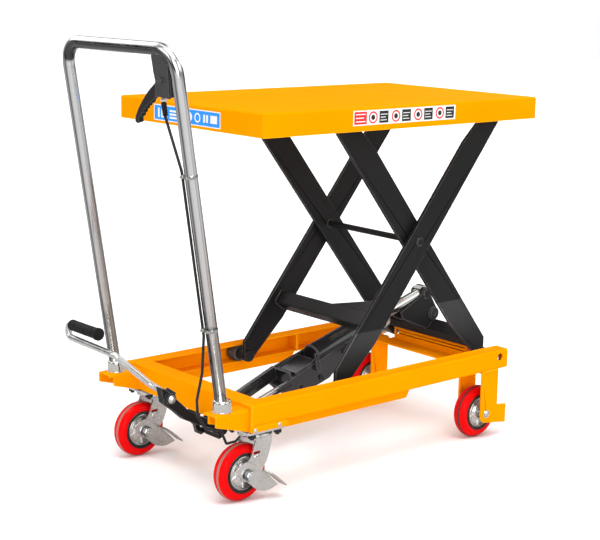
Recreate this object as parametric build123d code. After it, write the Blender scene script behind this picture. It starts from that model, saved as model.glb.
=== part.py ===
from build123d import *
import math
import os

# Scissor lift table on a four-wheel trolley.  Millimetres, +Z up, ground at z = 0.
# X runs along the table: push handle and swivel casters at -X, fixed wheels at +X.
# "Front" means the handle end (-X) and "rear" the +X end.
# Y runs across: +Y is the operator's left when pushing towards +X.

# ------------------------------------------------------------------ driving dimensions
DECK_L, DECK_W, DECK_H, DECK_T, DECK_TOP = 812.0, 500.0, 49.0, 4.0, 810.0
WHEEL_R, TYRE_W = 62.5, 38.0
RIM_R = 43.0
FRAME_HW = 226.0                # half width over the side channels
RAIL_X0, RAIL_X1 = -404.0, 374.0
RAIL_Z0, RAIL_Z1 = 167.0, 213.0
RAIL_T, FLANGE_W = 4.0, 38.0
WEB_Y = FRAME_HW - RAIL_T       # inner face of the channel web
LIP_Y = FRAME_HW - FLANGE_W     # free edge of the channel flanges
FIXED_X, ROLLER_X = 361.0, -110.0   # fixed pivots and roller axes in the drawn pose
LOW_Z, HIGH_Z = 190.0, 785.0    # lower and upper pivot heights in the drawn pose
ARM_W, ARM_T = 64.0, 9.0
OUTER_Y, INNER_Y = 156.0, 140.0  # inner faces of the outer and inner arms
PIN_R = 10.0
CASTER_X, CASTER_Y, CASTER_TRAIL, CASTER_TOP = -365.0, 184.0, 40.0, 155.0
AXLE_X, FIXED_WHEEL_Y = 307.0, 188.0   # fixed wheels
TUBE_R, HANDLE_X, HANDLE_Y = 12.75, -458.0, 193.0
HANDLE_FOOT, HANDLE_TOP, HANDLE_LEAN = 196.0, 932.5, 9.3   # lean in degrees
SOCKET_TOP = 204.0
TAIL_X, TAIL_Z = -364.0, 116.0  # pump tail pivot
EYE_X, EYE_Z = 303.0, 319.0     # rod eye pivot on the inner arms
CLR = 0.05                      # radial running clearance
CENTRING = Location((99.75, 0, 0))  # puts the middle of the overall length at x = 0

ON_BASE = (Align.CENTER, Align.CENTER, Align.MIN)
CORNER = (Align.MIN, Align.MIN, Align.MIN)

os.makedirs("parts", exist_ok=True)


# ------------------------------------------------------------------ helpers
def box(x0, x1, y0, y1, z0, z1):
    return Pos(x0, y0, z0) * Box(x1 - x0, y1 - y0, z1 - z0, align=CORNER)


def cyl(place, radius, length):
    """Cylinder standing on the origin of a location or plane."""
    return place * Cylinder(radius, length, align=ON_BASE)


def cyl_x(y, z, radius, x0, x1):
    return cyl(Pos(x0, y, z) * Rot(0, 90, 0), radius, x1 - x0)


def cyl_y(x, z, radius, y0, y1):
    return cyl(Pos(x, y0, z) * Rot(-90, 0, 0), radius, y1 - y0)


def cyl_z(x, y, radius, z0, z1):
    return cyl(Pos(x, y, z0), radius, z1 - z0)


def arc_points(x, z, radius, degrees):
    angles = [math.radians(degree) for degree in degrees]
    return [(x + radius * math.cos(angle), z + radius * math.sin(angle)) for angle in angles]


def shift(points, x, z=0.0):
    return [(px + x, pz + z) for px, pz in points]


def slab(corners, thickness):
    """Polygon of 3D corners extruded by the thickness vector."""
    face = Face(Wire.make_polygon(corners, close=True))
    return Part() + Solid.extrude(face, thickness)


def prism(points, y0, y1):
    """Side-view outline (x, z) extruded across from y0 to y1."""
    return slab([Vector(x, y0, z) for x, z in points], Vector(0, y1 - y0, 0))


def hex_y(x, z, flats, y0, y1):
    return prism(arc_points(x, z, flats / math.sqrt(3), range(0, 360, 60)), y0, y1)


def hex_z(x, y, flats, z0, z1):
    return Pos(x, y, z0) * extrude(RegularPolygon(flats / math.sqrt(3), 6), z1 - z0)


def tube_path(points, bend_r, radius, bore_r=None):
    path = FilletPolyline(*points, radius=bend_r)
    start = Plane(origin=path @ 0, z_dir=path % 0)
    tube = sweep(start * Circle(radius), path=path)
    if bore_r:
        tube = tube - sweep(start * Circle(bore_r), path=path)
    return tube


def mir(shape):
    return mirror(shape, about=Plane.XZ)


def both(shape):
    return shape, mir(shape)


def fuse(*shapes):
    total = Part()
    for shape in shapes:
        total = total + shape
    return total


def keep(name, *shapes):
    """Write one node; all solids stay separate."""
    solids = [solid.moved(CENTRING) for shape in shapes for solid in shape.solids()]
    node = Compound(children=solids) if len(solids) > 1 else solids[0]
    export_step(node, f"parts/{name}.step")


def keep_pair(name, shape):
    keep(f"{name}_left", shape)
    keep(f"{name}_right", mir(shape))


def edges_at(shape, axis, x=None, y=None, z=None):
    """Edges parallel to the axis whose centres lie at the given coordinates."""
    found = []
    for edge in shape.edges().filter_by(axis):
        mid = edge.center()
        pairs = ((mid.X, x), (mid.Y, y), (mid.Z, z))
        if all(want is None or abs(have - want) < 0.01 for have, want in pairs):
            found.append(edge)
    return found


def circles(shape):
    return [edge for edge in shape.edges() if edge.geom_type == GeomType.CIRCLE]


# ------------------------------------------------------------------ frame
# Side channel: web outside, flanges inward, round hole in the web near the fixed pivot
rail = box(RAIL_X0, RAIL_X1, LIP_Y, FRAME_HW, RAIL_Z0, RAIL_Z1)
rail = fillet(edges_at(rail, Axis.X, y=FRAME_HW), 5)
rail = rail - box(RAIL_X0 - 1, RAIL_X1 + 1, LIP_Y - 1, WEB_Y, RAIL_Z0 + RAIL_T, RAIL_Z1 - RAIL_T)
rail = rail - cyl_y(FIXED_X - 13, LOW_Z + 6, 9.0, FRAME_HW - 10, FRAME_HW + 1)
keep_pair("side_channel", rail)

# Front cross member: a folded sheet, apron plus top plate
APRON_X = RAIL_X0 - 4
front = (box(APRON_X, APRON_X + 4, -FRAME_HW, FRAME_HW, 156, RAIL_Z1)
         + box(APRON_X, -366, -LIP_Y, LIP_Y, RAIL_Z1 - 4, RAIL_Z1))
front = fillet(edges_at(front, Axis.Y, x=APRON_X, z=RAIL_Z1), 3.5)
keep("front_cross_member", front)

# Caster mounting plates under the channels
PLATE_X1 = -312.0
PLATE_EDGE_Y = FRAME_HW + 3
mount = box(RAIL_X0, PLATE_X1, 140, PLATE_EDGE_Y, CASTER_TOP, RAIL_Z0)
mount = fillet(edges_at(mount, Axis.X, y=PLATE_EDGE_Y), 3)
keep("caster_mount_plates", *both(mount))

# Strips under the channels with a sloping rear end, and roller stops in the channels
strip = prism([(PLATE_X1, 143), (57, 143), (72, RAIL_Z0), (PLATE_X1, RAIL_Z0)], 200, 205)
stop = box(66, 74, LIP_Y + 2, WEB_Y, RAIL_Z0 + RAIL_T, RAIL_Z1 - RAIL_T)
keep("channel_stiffeners_and_stops", *both(strip), *both(stop))

# Rear cross members: a notched angle, an end plate and two channel end caps
angle = (box(292, 349, -LIP_Y, LIP_Y, RAIL_Z0, RAIL_Z0 + 4)
         + box(345, 349, -130, 130, RAIL_Z0, 209))
for y in (-121, 121):
    angle = angle - cyl_x(y, 190, 7, 340, 355)
for y in (137, -152):
    angle = angle - box(338, 350, y, y + 15, 166, 172)
end_plate = box(RAIL_X1 - 4, RAIL_X1, -132, 132, RAIL_Z0, RAIL_Z1)
end_cap = box(RAIL_X1 - 4, RAIL_X1, 200.5, WEB_Y, RAIL_Z0 + RAIL_T, RAIL_Z1 - RAIL_T)
keep("rear_cross_members", angle, end_plate, *both(end_cap))

# Fixed wheel brackets: two cheeks with a heel towards +X, joined by a bridge plate
CHEEK_T, CHEEK_Y = 5.0, 150.0
BRIDGE_Z = 163.0
CHEEK_TOP = [(-19, BRIDGE_Z), (37, BRIDGE_Z), (37, 80), (68, 76), (68, 31), (4, 40.5)]
cheek = shift(CHEEK_TOP, AXLE_X) + arc_points(AXLE_X, 60, 19, range(270, 179, -15))
bracket = fuse(prism(cheek, FRAME_HW - CHEEK_T, FRAME_HW),
               prism(cheek, CHEEK_Y, CHEEK_Y + CHEEK_T),
               box(AXLE_X - 19, AXLE_X + 37, CHEEK_Y, FRAME_HW, BRIDGE_Z, RAIL_Z0))
bracket = bracket - cyl_y(AXLE_X, WHEEL_R, 6.1, 140, FRAME_HW + 5)
keep("fixed_wheel_brackets", *both(bracket))

# Fixed wheel axles: rounded end outside, hexagon nut inside
FIXED_AXLE_R = 6.0
BOLT_END_Y = FRAME_HW + 4
axle = cyl_y(AXLE_X, WHEEL_R, FIXED_AXLE_R, 142, BOLT_END_Y)
axle = axle + hex_y(AXLE_X, WHEEL_R, 18, 143, CHEEK_Y)
axle = fillet([e for e in circles(axle) if abs(e.center().Y - BOLT_END_Y) < 0.01], 1.5)
keep("fixed_wheel_axles", *both(axle))


# ------------------------------------------------------------------ wheels
def tyre(x, y, z):
    """Crowned tread ring about the Y axis."""
    half = TYRE_W / 2
    shoulder = RIM_R + 7
    with BuildSketch(Plane.XY) as section:
        with BuildLine():
            Line((RIM_R, -half + 2), (shoulder, -half + 1))
            ThreePointArc((shoulder, -half + 1), (WHEEL_R, 0), (shoulder, half - 1))
            Line((shoulder, half - 1), (RIM_R, half - 2))
            Line((RIM_R, half - 2), (RIM_R, -half + 2))
        make_face()
    return Pos(x, y, z) * revolve(section.sketch, axis=Axis.Y)


def rim(x, y, z, bore_r):
    """Dished rim with a hub and five round holes in its disc."""
    half = TYRE_W / 2 - 2
    disc_half, dish_r, hub_r = 6, 36.5, 15.0
    hole_ring_r, hole_r = 26, 5.5
    body = cyl_y(0, 0, RIM_R, -half, half)
    body = body - cyl_y(0, 0, dish_r, disc_half, half + 1)
    body = body - cyl_y(0, 0, dish_r, -half - 1, -disc_half)
    body = body + cyl_y(0, 0, hub_r, -half - 2, half + 2)
    for hole_x, hole_z in arc_points(0, 0, hole_ring_r, range(18, 360, 72)):
        body = body - cyl_y(hole_x, hole_z, hole_r, -7, 7)
    body = body - cyl_y(0, 0, bore_r, -30, 30)
    return Pos(x, y, z) * body


SIDES = (("left", 1), ("right", -1))
for side, sign in SIDES:
    wheel_y = sign * FIXED_WHEEL_Y
    keep(f"fixed_tyre_{side}", tyre(AXLE_X, wheel_y, WHEEL_R))
    keep(f"fixed_rim_{side}", rim(AXLE_X, wheel_y, WHEEL_R, FIXED_AXLE_R + CLR))

# ------------------------------------------------------------------ swivel casters
# Both are built alike, with the brake on the -Y side.
PLATE_Z = CASTER_TOP - 4        # underside of the caster top plate
CASTER_AXLE_R = 5.95
KING_PIN_R = 5.95
FORK_TOP = 137.0
LEG_Y0, LEG_Y1 = 22.5, 26.5     # fork leg faces from the wheel's mid-plane
AXLE_OFFSET = -CASTER_TRAIL
# Fork leg outline (x, z), in order: x from the king pin, the axle, the king pin again
LEG_FRONT = [(-24, FORK_TOP), (-18, 131), (-28, 103)]
LEG_FOOT = [(-1, 84), (-12, 76), (-16, 62), (-11, 50), (0, 46), (12, 48), (34, 59), (39, 64)]
LEG_REAR = [(12, 83), (19.5, 103.5), (25, 129), (24, FORK_TOP)]
LEG = LEG_FRONT + shift(LEG_FOOT, AXLE_OFFSET) + LEG_REAR
# Brake outlines (x from the axle, z)
BRAKE_CAM = [
    (-32, 78.5), (-19, 86.5), (-6, 91), (12, 86), (36, 66), (45, 60), (58, 48), (80, 25),
    (59, 19), (48, 18), (26, 24), (16, 31), (5, 41), (-8.5, 54), (-24, 62)]
BRAKE_WING = [(40, 64), (43, 66), (60, 53), (85, 30.5), (83, 28), (58, 50)]


def caster_top(king_y):
    plate = box(CASTER_X - 50, CASTER_X + 50, king_y - 42.5, king_y + 42.5, PLATE_Z, CASTER_TOP)
    plate = fillet(edges_at(plate, Axis.Z), 6)
    plate = plate + cyl_z(CASTER_X, king_y, 31, CASTER_TOP - 12, PLATE_Z)
    return plate - cyl_z(CASTER_X, king_y, 6.0, 130, 160)


def caster_bolts(king_y):
    return [hex_z(CASTER_X + dx, king_y + dy, 16, CASTER_TOP - 13, PLATE_Z)
            + cyl_z(CASTER_X + dx, king_y + dy, 4.5, CASTER_TOP - 17, CASTER_TOP - 5)
            for dx in (-34, 34) for dy in (-33, 33)]


def king_pin(king_y):
    return (cyl_z(CASTER_X, king_y, KING_PIN_R, 128, CASTER_TOP)
            + hex_z(CASTER_X, king_y, 18, 124, 132))


def fork_leg(y0, y1):
    """Sloping leg with a short rounded slot high up."""
    slot_x0, slot_x1, slot_z, slot_r = CASTER_X - 21, CASTER_X - 9, 105, 3
    leg = prism(shift(LEG, CASTER_X), y0, y1)
    leg = leg - box(slot_x0, slot_x1, y0 - 1, y1 + 1, slot_z - slot_r, slot_z + slot_r)
    for x in (slot_x0, slot_x1):
        leg = leg - cyl_y(x, slot_z, slot_r, y0 - 1, y1 + 1)
    return leg


def caster_fork(king_y, axle_x):
    crown = cyl_z(CASTER_X, king_y, 33, FORK_TOP, 142.9)
    bridge = box(CASTER_X - 26, CASTER_X + 24, king_y - LEG_Y1, king_y + LEG_Y1,
                 133, FORK_TOP + 0.01)
    fork = fuse(crown, bridge, fork_leg(king_y - LEG_Y1, king_y - LEG_Y0),
                fork_leg(king_y + LEG_Y0, king_y + LEG_Y1))
    fork = fork - cyl_z(CASTER_X, king_y, 6.0 + CLR, 130, 150)
    fork = fork - hex_z(CASTER_X, king_y, 21, 120, 133)
    fork = fork - cyl_y(axle_x, WHEEL_R, 6.0, king_y - 40, king_y + 40)
    return fork - cyl_z(CASTER_X, king_y, 11.5, 120, 133.5)


def caster_axle(king_y, axle_x):
    return fuse(cyl_y(axle_x, WHEEL_R, CASTER_AXLE_R, king_y - 42, king_y + 33),
                hex_y(axle_x, WHEEL_R, 18, king_y - 42, king_y - 35),
                hex_y(axle_x, WHEEL_R, 18, king_y + LEG_Y1, king_y + 34))


def caster_brake(king_y, axle_x):
    """Cam plate beside the fork leg, with a wing standing out towards -Y."""
    face_y = king_y - LEG_Y1 - 0.1
    cam = prism(shift(BRAKE_CAM, axle_x), face_y - 4, face_y)
    wing = prism(shift(BRAKE_WING, axle_x), face_y - 28, face_y - 1)
    hole = cyl_y(axle_x, WHEEL_R, CASTER_AXLE_R + CLR, face_y - 10, face_y + 5)
    return fuse(cam, wing) - hole


tops, bolts, king_pins = [], [], []
for side, sign in SIDES:
    king_y = sign * CASTER_Y
    axle_x = CASTER_X + AXLE_OFFSET
    tops.append(caster_top(king_y))
    bolts += caster_bolts(king_y)
    king_pins.append(king_pin(king_y))
    keep(f"caster_fork_{side}", caster_fork(king_y, axle_x))
    keep(f"caster_axle_{side}", caster_axle(king_y, axle_x))
    keep(f"caster_rim_{side}", rim(axle_x, king_y, WHEEL_R, CASTER_AXLE_R + CLR))
    keep(f"caster_tyre_{side}", tyre(axle_x, king_y, WHEEL_R))
    keep(f"caster_brake_{side}", caster_brake(king_y, axle_x))
keep("caster_top_plates", *tops)
keep("caster_bolts_and_king_pins", *bolts, *king_pins)

# ------------------------------------------------------------------ handle
LEAN = math.radians(HANDLE_LEAN)
HANDLE_NORMAL = Vector(math.cos(LEAN), 0, math.sin(LEAN))


def handle_x(z):
    """X of the handle's leaning centre plane at height z."""
    return HANDLE_X - (z - SOCKET_TOP) * math.tan(LEAN)


def leaning(x, y, z):
    return Pos(x, y, z) * Rot(0, -HANDLE_LEAN, 0)


HANDLE_BEND_R = 52
HANDLE_PATH = [(handle_x(z), y, z) for y, z in (
    (-HANDLE_Y, HANDLE_FOOT), (-HANDLE_Y, HANDLE_TOP),
    (HANDLE_Y, HANDLE_TOP), (HANDLE_Y, HANDLE_FOOT))]
keep("handle_tube", tube_path(HANDLE_PATH, HANDLE_BEND_R, TUBE_R, TUBE_R - 2))

# Sockets: inverted U channels reaching out past the front apron, each with a collar on top
SOCKET_X, SOCKET_HW, SOCKET_T = -490.0, 22.0, 4.0
socket = prism([(SOCKET_X, 180), (SOCKET_X, SOCKET_TOP), (APRON_X, SOCKET_TOP), (APRON_X, 156.5)],
               HANDLE_Y - SOCKET_HW, HANDLE_Y + SOCKET_HW)
socket = fillet(edges_at(socket, Axis.X, z=SOCKET_TOP), 6)
socket = socket - box(SOCKET_X - 1, APRON_X + 1, HANDLE_Y - SOCKET_HW + SOCKET_T,
                      HANDLE_Y + SOCKET_HW - SOCKET_T, 150, SOCKET_TOP - SOCKET_T)
socket = socket - box(SOCKET_X - 1, -478, HANDLE_Y - SOCKET_HW - 1, HANDLE_Y,
                      150, SOCKET_TOP - 7)
socket = socket - cyl_z(HANDLE_X, HANDLE_Y, 14.0, 190, 210)


def collar(y):
    ring = cyl(Pos(HANDLE_X, y, SOCKET_TOP), 18.5, 24)
    ring = fillet([e for e in circles(ring) if e.center().Z > SOCKET_TOP + 20], 3)
    return ring - cyl(leaning(handle_x(HANDLE_FOOT), y, HANDLE_FOOT), TUBE_R + CLR, 60)


keep("handle_sockets", *both(socket), collar(HANDLE_Y), collar(-HANDLE_Y))

# ------------------------------------------------------------------ hand lever
# It sits in the right-hand top corner, in the leaning plane of the handle.
LEVER_Y, LEVER_Z = -149.0, 875.0      # lever pivot
SCREW_HOLE_R = 3.5
BRACKET_IN, BRACKET_OUT = 7.0, 10.5   # bracket plate faces from the handle plane
# Outlines (y, z) in the handle plane
BRACKET_PLATE = [(-127, 922), (-128, 888), (-130, 873), (-123, 843),
                 (-170, 840), (-178, 906), (-160, 920), (-147, 926)]
BRACKET_WEB = [(-172, 842), (-176.5, 890), (-171, 890), (-167, 842)]
LEVER = [
    (-160, 868), (-160, 880), (-152, 888), (-140, 886), (-128, 872), (-113, 862), (-96, 851),
    (-79.5, 838), (-54, 815), (-39.5, 797.5), (-34.4, 785.4), (-41, 781.5), (-48.6, 784.7),
    (-48.2, 791), (-53, 797.5), (-57.5, 796.5), (-61.5, 804.5), (-66.5, 804.8), (-70, 812.5),
    (-75.5, 812.5), (-80, 819.5), (-85.5, 819), (-90, 826), (-95.5, 824.8), (-103.5, 833),
    (-116, 839), (-136, 852), (-152, 861)]


def in_handle(points, near, far):
    """(y, z) outline in the handle plane, thickened from near to far along its normal."""
    corners = [Vector(handle_x(z), y, z) + HANDLE_NORMAL * near for y, z in points]
    return slab(corners, HANDLE_NORMAL * (far - near))


def lever_pin(radius, near, far):
    origin = Vector(handle_x(LEVER_Z), LEVER_Y, LEVER_Z) + HANDLE_NORMAL * near
    return cyl(Plane(origin=origin, z_dir=HANDLE_NORMAL), radius, far - near)


lever_bracket = fuse(in_handle(BRACKET_PLATE, BRACKET_IN, BRACKET_OUT),
                     in_handle(BRACKET_PLATE, -BRACKET_OUT, -BRACKET_IN),
                     in_handle(BRACKET_WEB, -BRACKET_IN, BRACKET_IN))
lever_bracket = lever_bracket - tube_path(HANDLE_PATH, HANDLE_BEND_R, TUBE_R + 0.03)
lever_bracket = lever_bracket - lever_pin(SCREW_HOLE_R, -12, 12)
screw = fuse(lever_pin(SCREW_HOLE_R - CLR, -12, 12), lever_pin(6.5, -14, -10.6),
             lever_pin(6.0, 10.6, 14))
SCREW_SLOT = [(-5, -0.8), (-5, 0.8), (5, 0.8), (5, -0.8)]
screw = screw - in_handle(shift(SCREW_SLOT, LEVER_Y, LEVER_Z), -15, -12.8)
keep("hand_lever_bracket", lever_bracket, screw)
keep("hand_lever", in_handle(LEVER, -6.2, 6.2) - lever_pin(SCREW_HOLE_R, -12, 12))

# ------------------------------------------------------------------ release cable
# It runs down beside the right leg, past the socket and under the apron to the pump.
CABLE_R = 2.9
CABLE_DX, CABLE_DY = -13.0, 11.0   # cable from the leg axis where the clips hold it
CLIP_H = 9
LEG_CABLE_Y = -HANDLE_Y + CABLE_DY
CABLE_TOP = (handle_x(836) - 2, -137, 836)
CABLE_NEXT = (handle_x(800) - 3, -138, 800)
CABLE_PATH = [
    CABLE_TOP, CABLE_NEXT,
    (handle_x(700) + CABLE_DX, LEG_CABLE_Y, 700), (handle_x(365) + CABLE_DX, LEG_CABLE_Y, 365),
    (-492, -170, 285), (-496, -158, 226), (-476, -134, 182), (-436, -112, 142),
    (-386, -96.5, 124), (-360, -81.5, 86), (-330, -76, 84), (-290, -66, 104),
    (-200, -46, 158), (-150, -46, 172)]
keep("release_cable", tube_path(CABLE_PATH, 8, CABLE_R))


def clip(z):
    """Band round the tube with a loop round the cable."""
    on_tube = leaning(handle_x(z), -HANDLE_Y, z)
    on_cable = leaning(handle_x(z) + CABLE_DX, LEG_CABLE_Y, z)
    body = on_tube * Cylinder(TUBE_R + 1.6, CLIP_H) + on_cable * Cylinder(4.6, CLIP_H)
    body = body - on_tube * Cylinder(TUBE_R + CLR, 14)
    return body - on_cable * Cylinder(3.05, 14)


cable_dir = (Vector(*CABLE_NEXT) - Vector(*CABLE_TOP)).normalized()
boot_top = Vector(handle_x(830) - 2.2, -137.2, 830)
boot = cyl(Plane(origin=boot_top, z_dir=cable_dir), 5.2, 26)
boot = boot - cyl(Plane(origin=Vector(*CABLE_TOP), z_dir=cable_dir), CABLE_R + CLR, 60)
keep("cable_clips_and_boot", clip(690), clip(378), boot)

# ------------------------------------------------------------------ scissor arms
SPAN_X, SPAN_Z = FIXED_X - ROLLER_X, HIGH_Z - LOW_Z
ARM_ANGLE = math.atan2(SPAN_Z, SPAN_X)
CROSS_X, CROSS_Z = (FIXED_X + ROLLER_X) / 2, (LOW_Z + HIGH_Z) / 2
END_R, END_CUT = 15.0, 12.0   # tongue radius and distance of the upright cut from the pin
SHOULDER = 126.0              # from the pin to where the full width begins, lower edge


def tilt(along, across):
    """Offset (x, z) along and square to an arm rising towards +X."""
    cos, sin = math.cos(ARM_ANGLE), math.sin(ARM_ANGLE)
    return along * cos - across * sin, along * sin + across * cos


def on_outer(along, across):
    """Point from the lower roller pin; across points to the upper left."""
    x, z = tilt(along, across)
    return ROLLER_X + x, LOW_Z + z


def on_inner(along, across):
    """Point from the lower fixed pivot; across points to the upper right."""
    x, z = tilt(along, across)
    return FIXED_X - x, LOW_Z + z


def arm_outline():
    """Outline from the lower pin.  Each end tapers to a tongue round its pin and is cut
    upright in the drawn pose; the upper end is the lower one turned half round."""
    half_w = ARM_W / 2
    cut_along = (-END_CUT + half_w * math.sin(ARM_ANGLE)) / math.cos(ARM_ANGLE)
    half = [tilt(cut_along, half_w), (-END_CUT, 0.0)]
    for degree in range(195, 271, 15):
        angle = math.radians(degree)
        half.append((END_CUT * math.cos(angle), END_R * math.sin(angle)))
    half += arc_points(0, 0, END_R, [300])
    half.append(tilt(SHOULDER, -half_w))
    return half + [(SPAN_X - x, SPAN_Z - z) for x, z in half]


def arm(points, y0, low_x, high_x):
    plate = prism(points, y0, y0 + ARM_T)
    for x, z in ((low_x, LOW_Z), (high_x, HIGH_Z), (CROSS_X, CROSS_Z)):
        plate = plate - cyl_y(x, z, PIN_R + CLR, y0 - 1, y0 + ARM_T + 1)
    return plate


outer_points = [(ROLLER_X + x, LOW_Z + z) for x, z in arm_outline()]
inner_points = [(FIXED_X - x, LOW_Z + z) for x, z in arm_outline()]
keep_pair("outer_arm", arm(outer_points, OUTER_Y, ROLLER_X, FIXED_X))
keep_pair("inner_arm", arm(inner_points, INNER_Y, FIXED_X, ROLLER_X))


# Rectangular bars joining the left and right arms
def cross_bar(on_arm, along, across, length, depth, half_y):
    low, high = along - length / 2, along + length / 2
    near, far = across - depth / 2, across + depth / 2
    corners = [on_arm(low, near), on_arm(high, near), on_arm(high, far), on_arm(low, far)]
    bar = prism(corners, -half_y, half_y)
    return fillet(bar.edges().filter_by(Axis.Y), 3)


BOX_ALONG, BOX_ACROSS, BOX_LENGTH, BOX_DEPTH = 49.0, 1.0, 30.0, 36.0
keep("outer_cross_tube", cross_bar(on_outer, 160.0, -4.0, 34, 38, OUTER_Y))
keep("inner_cross_box",
     cross_bar(on_inner, BOX_ALONG, BOX_ACROSS, BOX_LENGTH, BOX_DEPTH, INNER_Y))

# Centre shaft: slim between the arms, pin size through them, small ends; one washer a side
OUTER_FACE = OUTER_Y + ARM_T
INNER_FACE = INNER_Y + ARM_T
shaft = cyl_y(CROSS_X, CROSS_Z, 7.0, -INNER_Y, INNER_Y)
for sign in (-1, 1):
    for radius, start, end in ((PIN_R, INNER_Y, OUTER_FACE),
                               (PIN_R - 2.5, OUTER_FACE, OUTER_FACE + 3)):
        y0, y1 = sorted((sign * start, sign * end))
        shaft = shaft + cyl_y(CROSS_X, CROSS_Z, radius, y0, y1)
washer = (cyl_y(CROSS_X, CROSS_Z, 19, INNER_FACE + 0.1, OUTER_Y - 0.1)
          - cyl_y(CROSS_X, CROSS_Z, PIN_R + CLR, 0, 300))
keep("centre_shaft", shaft, *both(washer))

# Rollers and their pins: lower in the frame channels, upper in the deck tracks
SPACER_Y = 188.0


def roller_pin(z, arm_y, spacer_r):
    pin = cyl_y(ROLLER_X, z, PIN_R, arm_y, 219)
    pin = pin + cyl_y(ROLLER_X, z, spacer_r, arm_y + ARM_T, SPACER_Y)
    return pin + cyl_y(ROLLER_X, z, 13, arm_y - 5, arm_y)


def roller(z, radius):
    wheel = (cyl_y(ROLLER_X, z, radius, SPACER_Y + 0.6, 217)
             - cyl_y(ROLLER_X, z, PIN_R + CLR, 180, 230))
    return fillet([e for e in circles(wheel) if e.radius > radius - 1], 1.5)


# level, z, roller radius, arm face, spacer radius
for level, z, radius, arm_y, spacer_r in (("lower", LOW_Z, 18.7, OUTER_Y, 14),
                                          ("upper", HIGH_Z, 16.7, INNER_Y, 13)):
    keep(f"{level}_roller_pins", *both(roller_pin(z, arm_y, spacer_r)))
    keep_pair(f"{level}_roller", roller(z, radius))

# Lower fixed pivots: cheek plates inside the channels and pins through the inner arms
pivot_cheek = (box(FIXED_X - 17, FIXED_X + 8.5, 190, 197, RAIL_Z0 + RAIL_T, RAIL_Z1 - RAIL_T)
               - cyl_y(FIXED_X, LOW_Z, PIN_R, 180, 200))
pivot_pin = fuse(cyl_y(FIXED_X, LOW_Z, PIN_R, INNER_Y - 5, 200),
                 cyl_y(FIXED_X, LOW_Z, 14.5, INNER_FACE + 0.2, SPACER_Y))
keep("lower_pivots", *both(pivot_cheek), *both(pivot_pin))

# ------------------------------------------------------------------ deck
HALF_L, HALF_W = DECK_L / 2, DECK_W / 2
DECK_LOW, DECK_UNDER = DECK_TOP - DECK_H, DECK_TOP - DECK_T
deck = box(-HALF_L, HALF_L, -HALF_W, HALF_W, DECK_LOW, DECK_TOP)
deck = fillet(deck.edges().filter_by(Axis.Z), 7)
deck = fillet([e for e in deck.edges() if e.center().Z > DECK_TOP - 0.01], 5)
hollow = box(-HALF_L + DECK_T, HALF_L - DECK_T, -HALF_W + DECK_T, HALF_W - DECK_T,
             DECK_LOW - 1, DECK_UNDER)
deck = deck - fillet(hollow.edges().filter_by(Axis.Z), 3)
keep("deck_plate", deck)

# Channels under the deck for the upper rollers
TRACK_Z0 = 764.0
track = box(-HALF_L + DECK_T + 6, 80, LIP_Y, FRAME_HW, TRACK_Z0, DECK_UNDER)
track = track - box(-HALF_L, 90, LIP_Y - 1, WEB_Y, TRACK_Z0 + RAIL_T, DECK_UNDER - RAIL_T)
keep("deck_tracks", *both(track))

# Upper fixed pivots: hanging plates with a top pad, and headed pins
deck_lug = (box(FIXED_X - 20, FIXED_X + 20, 168, 174, HIGH_Z - 18, DECK_UNDER)
            + box(FIXED_X - 30, FIXED_X + 30, 174, 196, DECK_UNDER - 5, DECK_UNDER))
deck_lug = deck_lug - cyl_y(FIXED_X, HIGH_Z, PIN_R, 160, 180)
deck_pin = fuse(cyl_y(FIXED_X, HIGH_Z, PIN_R, OUTER_Y - 4, 178),
                cyl_y(FIXED_X, HIGH_Z, 13, 178, 182))
keep("deck_pivots", *both(deck_lug), *both(deck_pin))

# ------------------------------------------------------------------ hydraulic unit
# Laid out along the line from the tail pivot to the rod eye; across points upwards.
PUMP_ANGLE = math.atan2(EYE_Z - TAIL_Z, EYE_X - TAIL_X)
EYE_ALONG = math.hypot(EYE_X - TAIL_X, EYE_Z - TAIL_Z)
SHAFT_R = 8.0
PLUNGER_R, PLUNGER_ACROSS, PLUNGER_Y = 6.0, -18.0, -16
VALVE_R, VALVE_ALONG, VALVE_ACROSS = 6.0, 312, -14
SIDE_Y0, SIDE_Y1 = 28, 33       # side plate faces
BARREL_R, BARREL_BORE_R, BARREL_END = 27.5, 22.0, 548
ROD_R = 13.5


def on_pump(along, across):
    cos, sin = math.cos(PUMP_ANGLE), math.sin(PUMP_ANGLE)
    return TAIL_X + along * cos - across * sin, TAIL_Z + along * sin + across * cos


def pump_prism(points, y0, y1):
    """(along, across) outline extruded in Y."""
    return prism([on_pump(along, across) for along, across in points], y0, y1)


def pump_cyl(start, end, radius, across=0.0, y=0.0):
    """Cylinder parallel to the pump line."""
    x, z = on_pump(start, across)
    turn = Rot(0, 90 - math.degrees(PUMP_ANGLE), 0)
    return cyl(Pos(x, y, z) * turn, radius, end - start)


def plunger_cyl(start, end, radius):
    return pump_cyl(start, end, radius, PLUNGER_ACROSS, PLUNGER_Y)


def pump_cross(along, across, radius, y0, y1):
    """Cylinder square to the pump line, along Y."""
    return cyl_y(*on_pump(along, across), radius, y0, y1)


# Lugs under the front cross member and the shaft they carry
hanger = prism([(-402, RAIL_Z1 - 4), (-368, RAIL_Z1 - 4), (TAIL_X + 12.5, 140)]
               + arc_points(TAIL_X, TAIL_Z, 12.5, range(0, -181, -20))
               + [(TAIL_X - 18, 150)], 0, 5)
hanger = hanger - cyl_y(TAIL_X, TAIL_Z, SHAFT_R, -1, 7)
tail_shaft = fuse(cyl_y(TAIL_X, TAIL_Z, SHAFT_R, -75, 33), cyl_y(TAIL_X, TAIL_Z, 10, -78, -75),
                  cyl_y(TAIL_X, TAIL_Z, 10, 33, 36))
keep("pump_hangers", Pos(0, -53.5, 0) * hanger, Pos(0, 24, 0) * hanger, tail_shaft)

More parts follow.
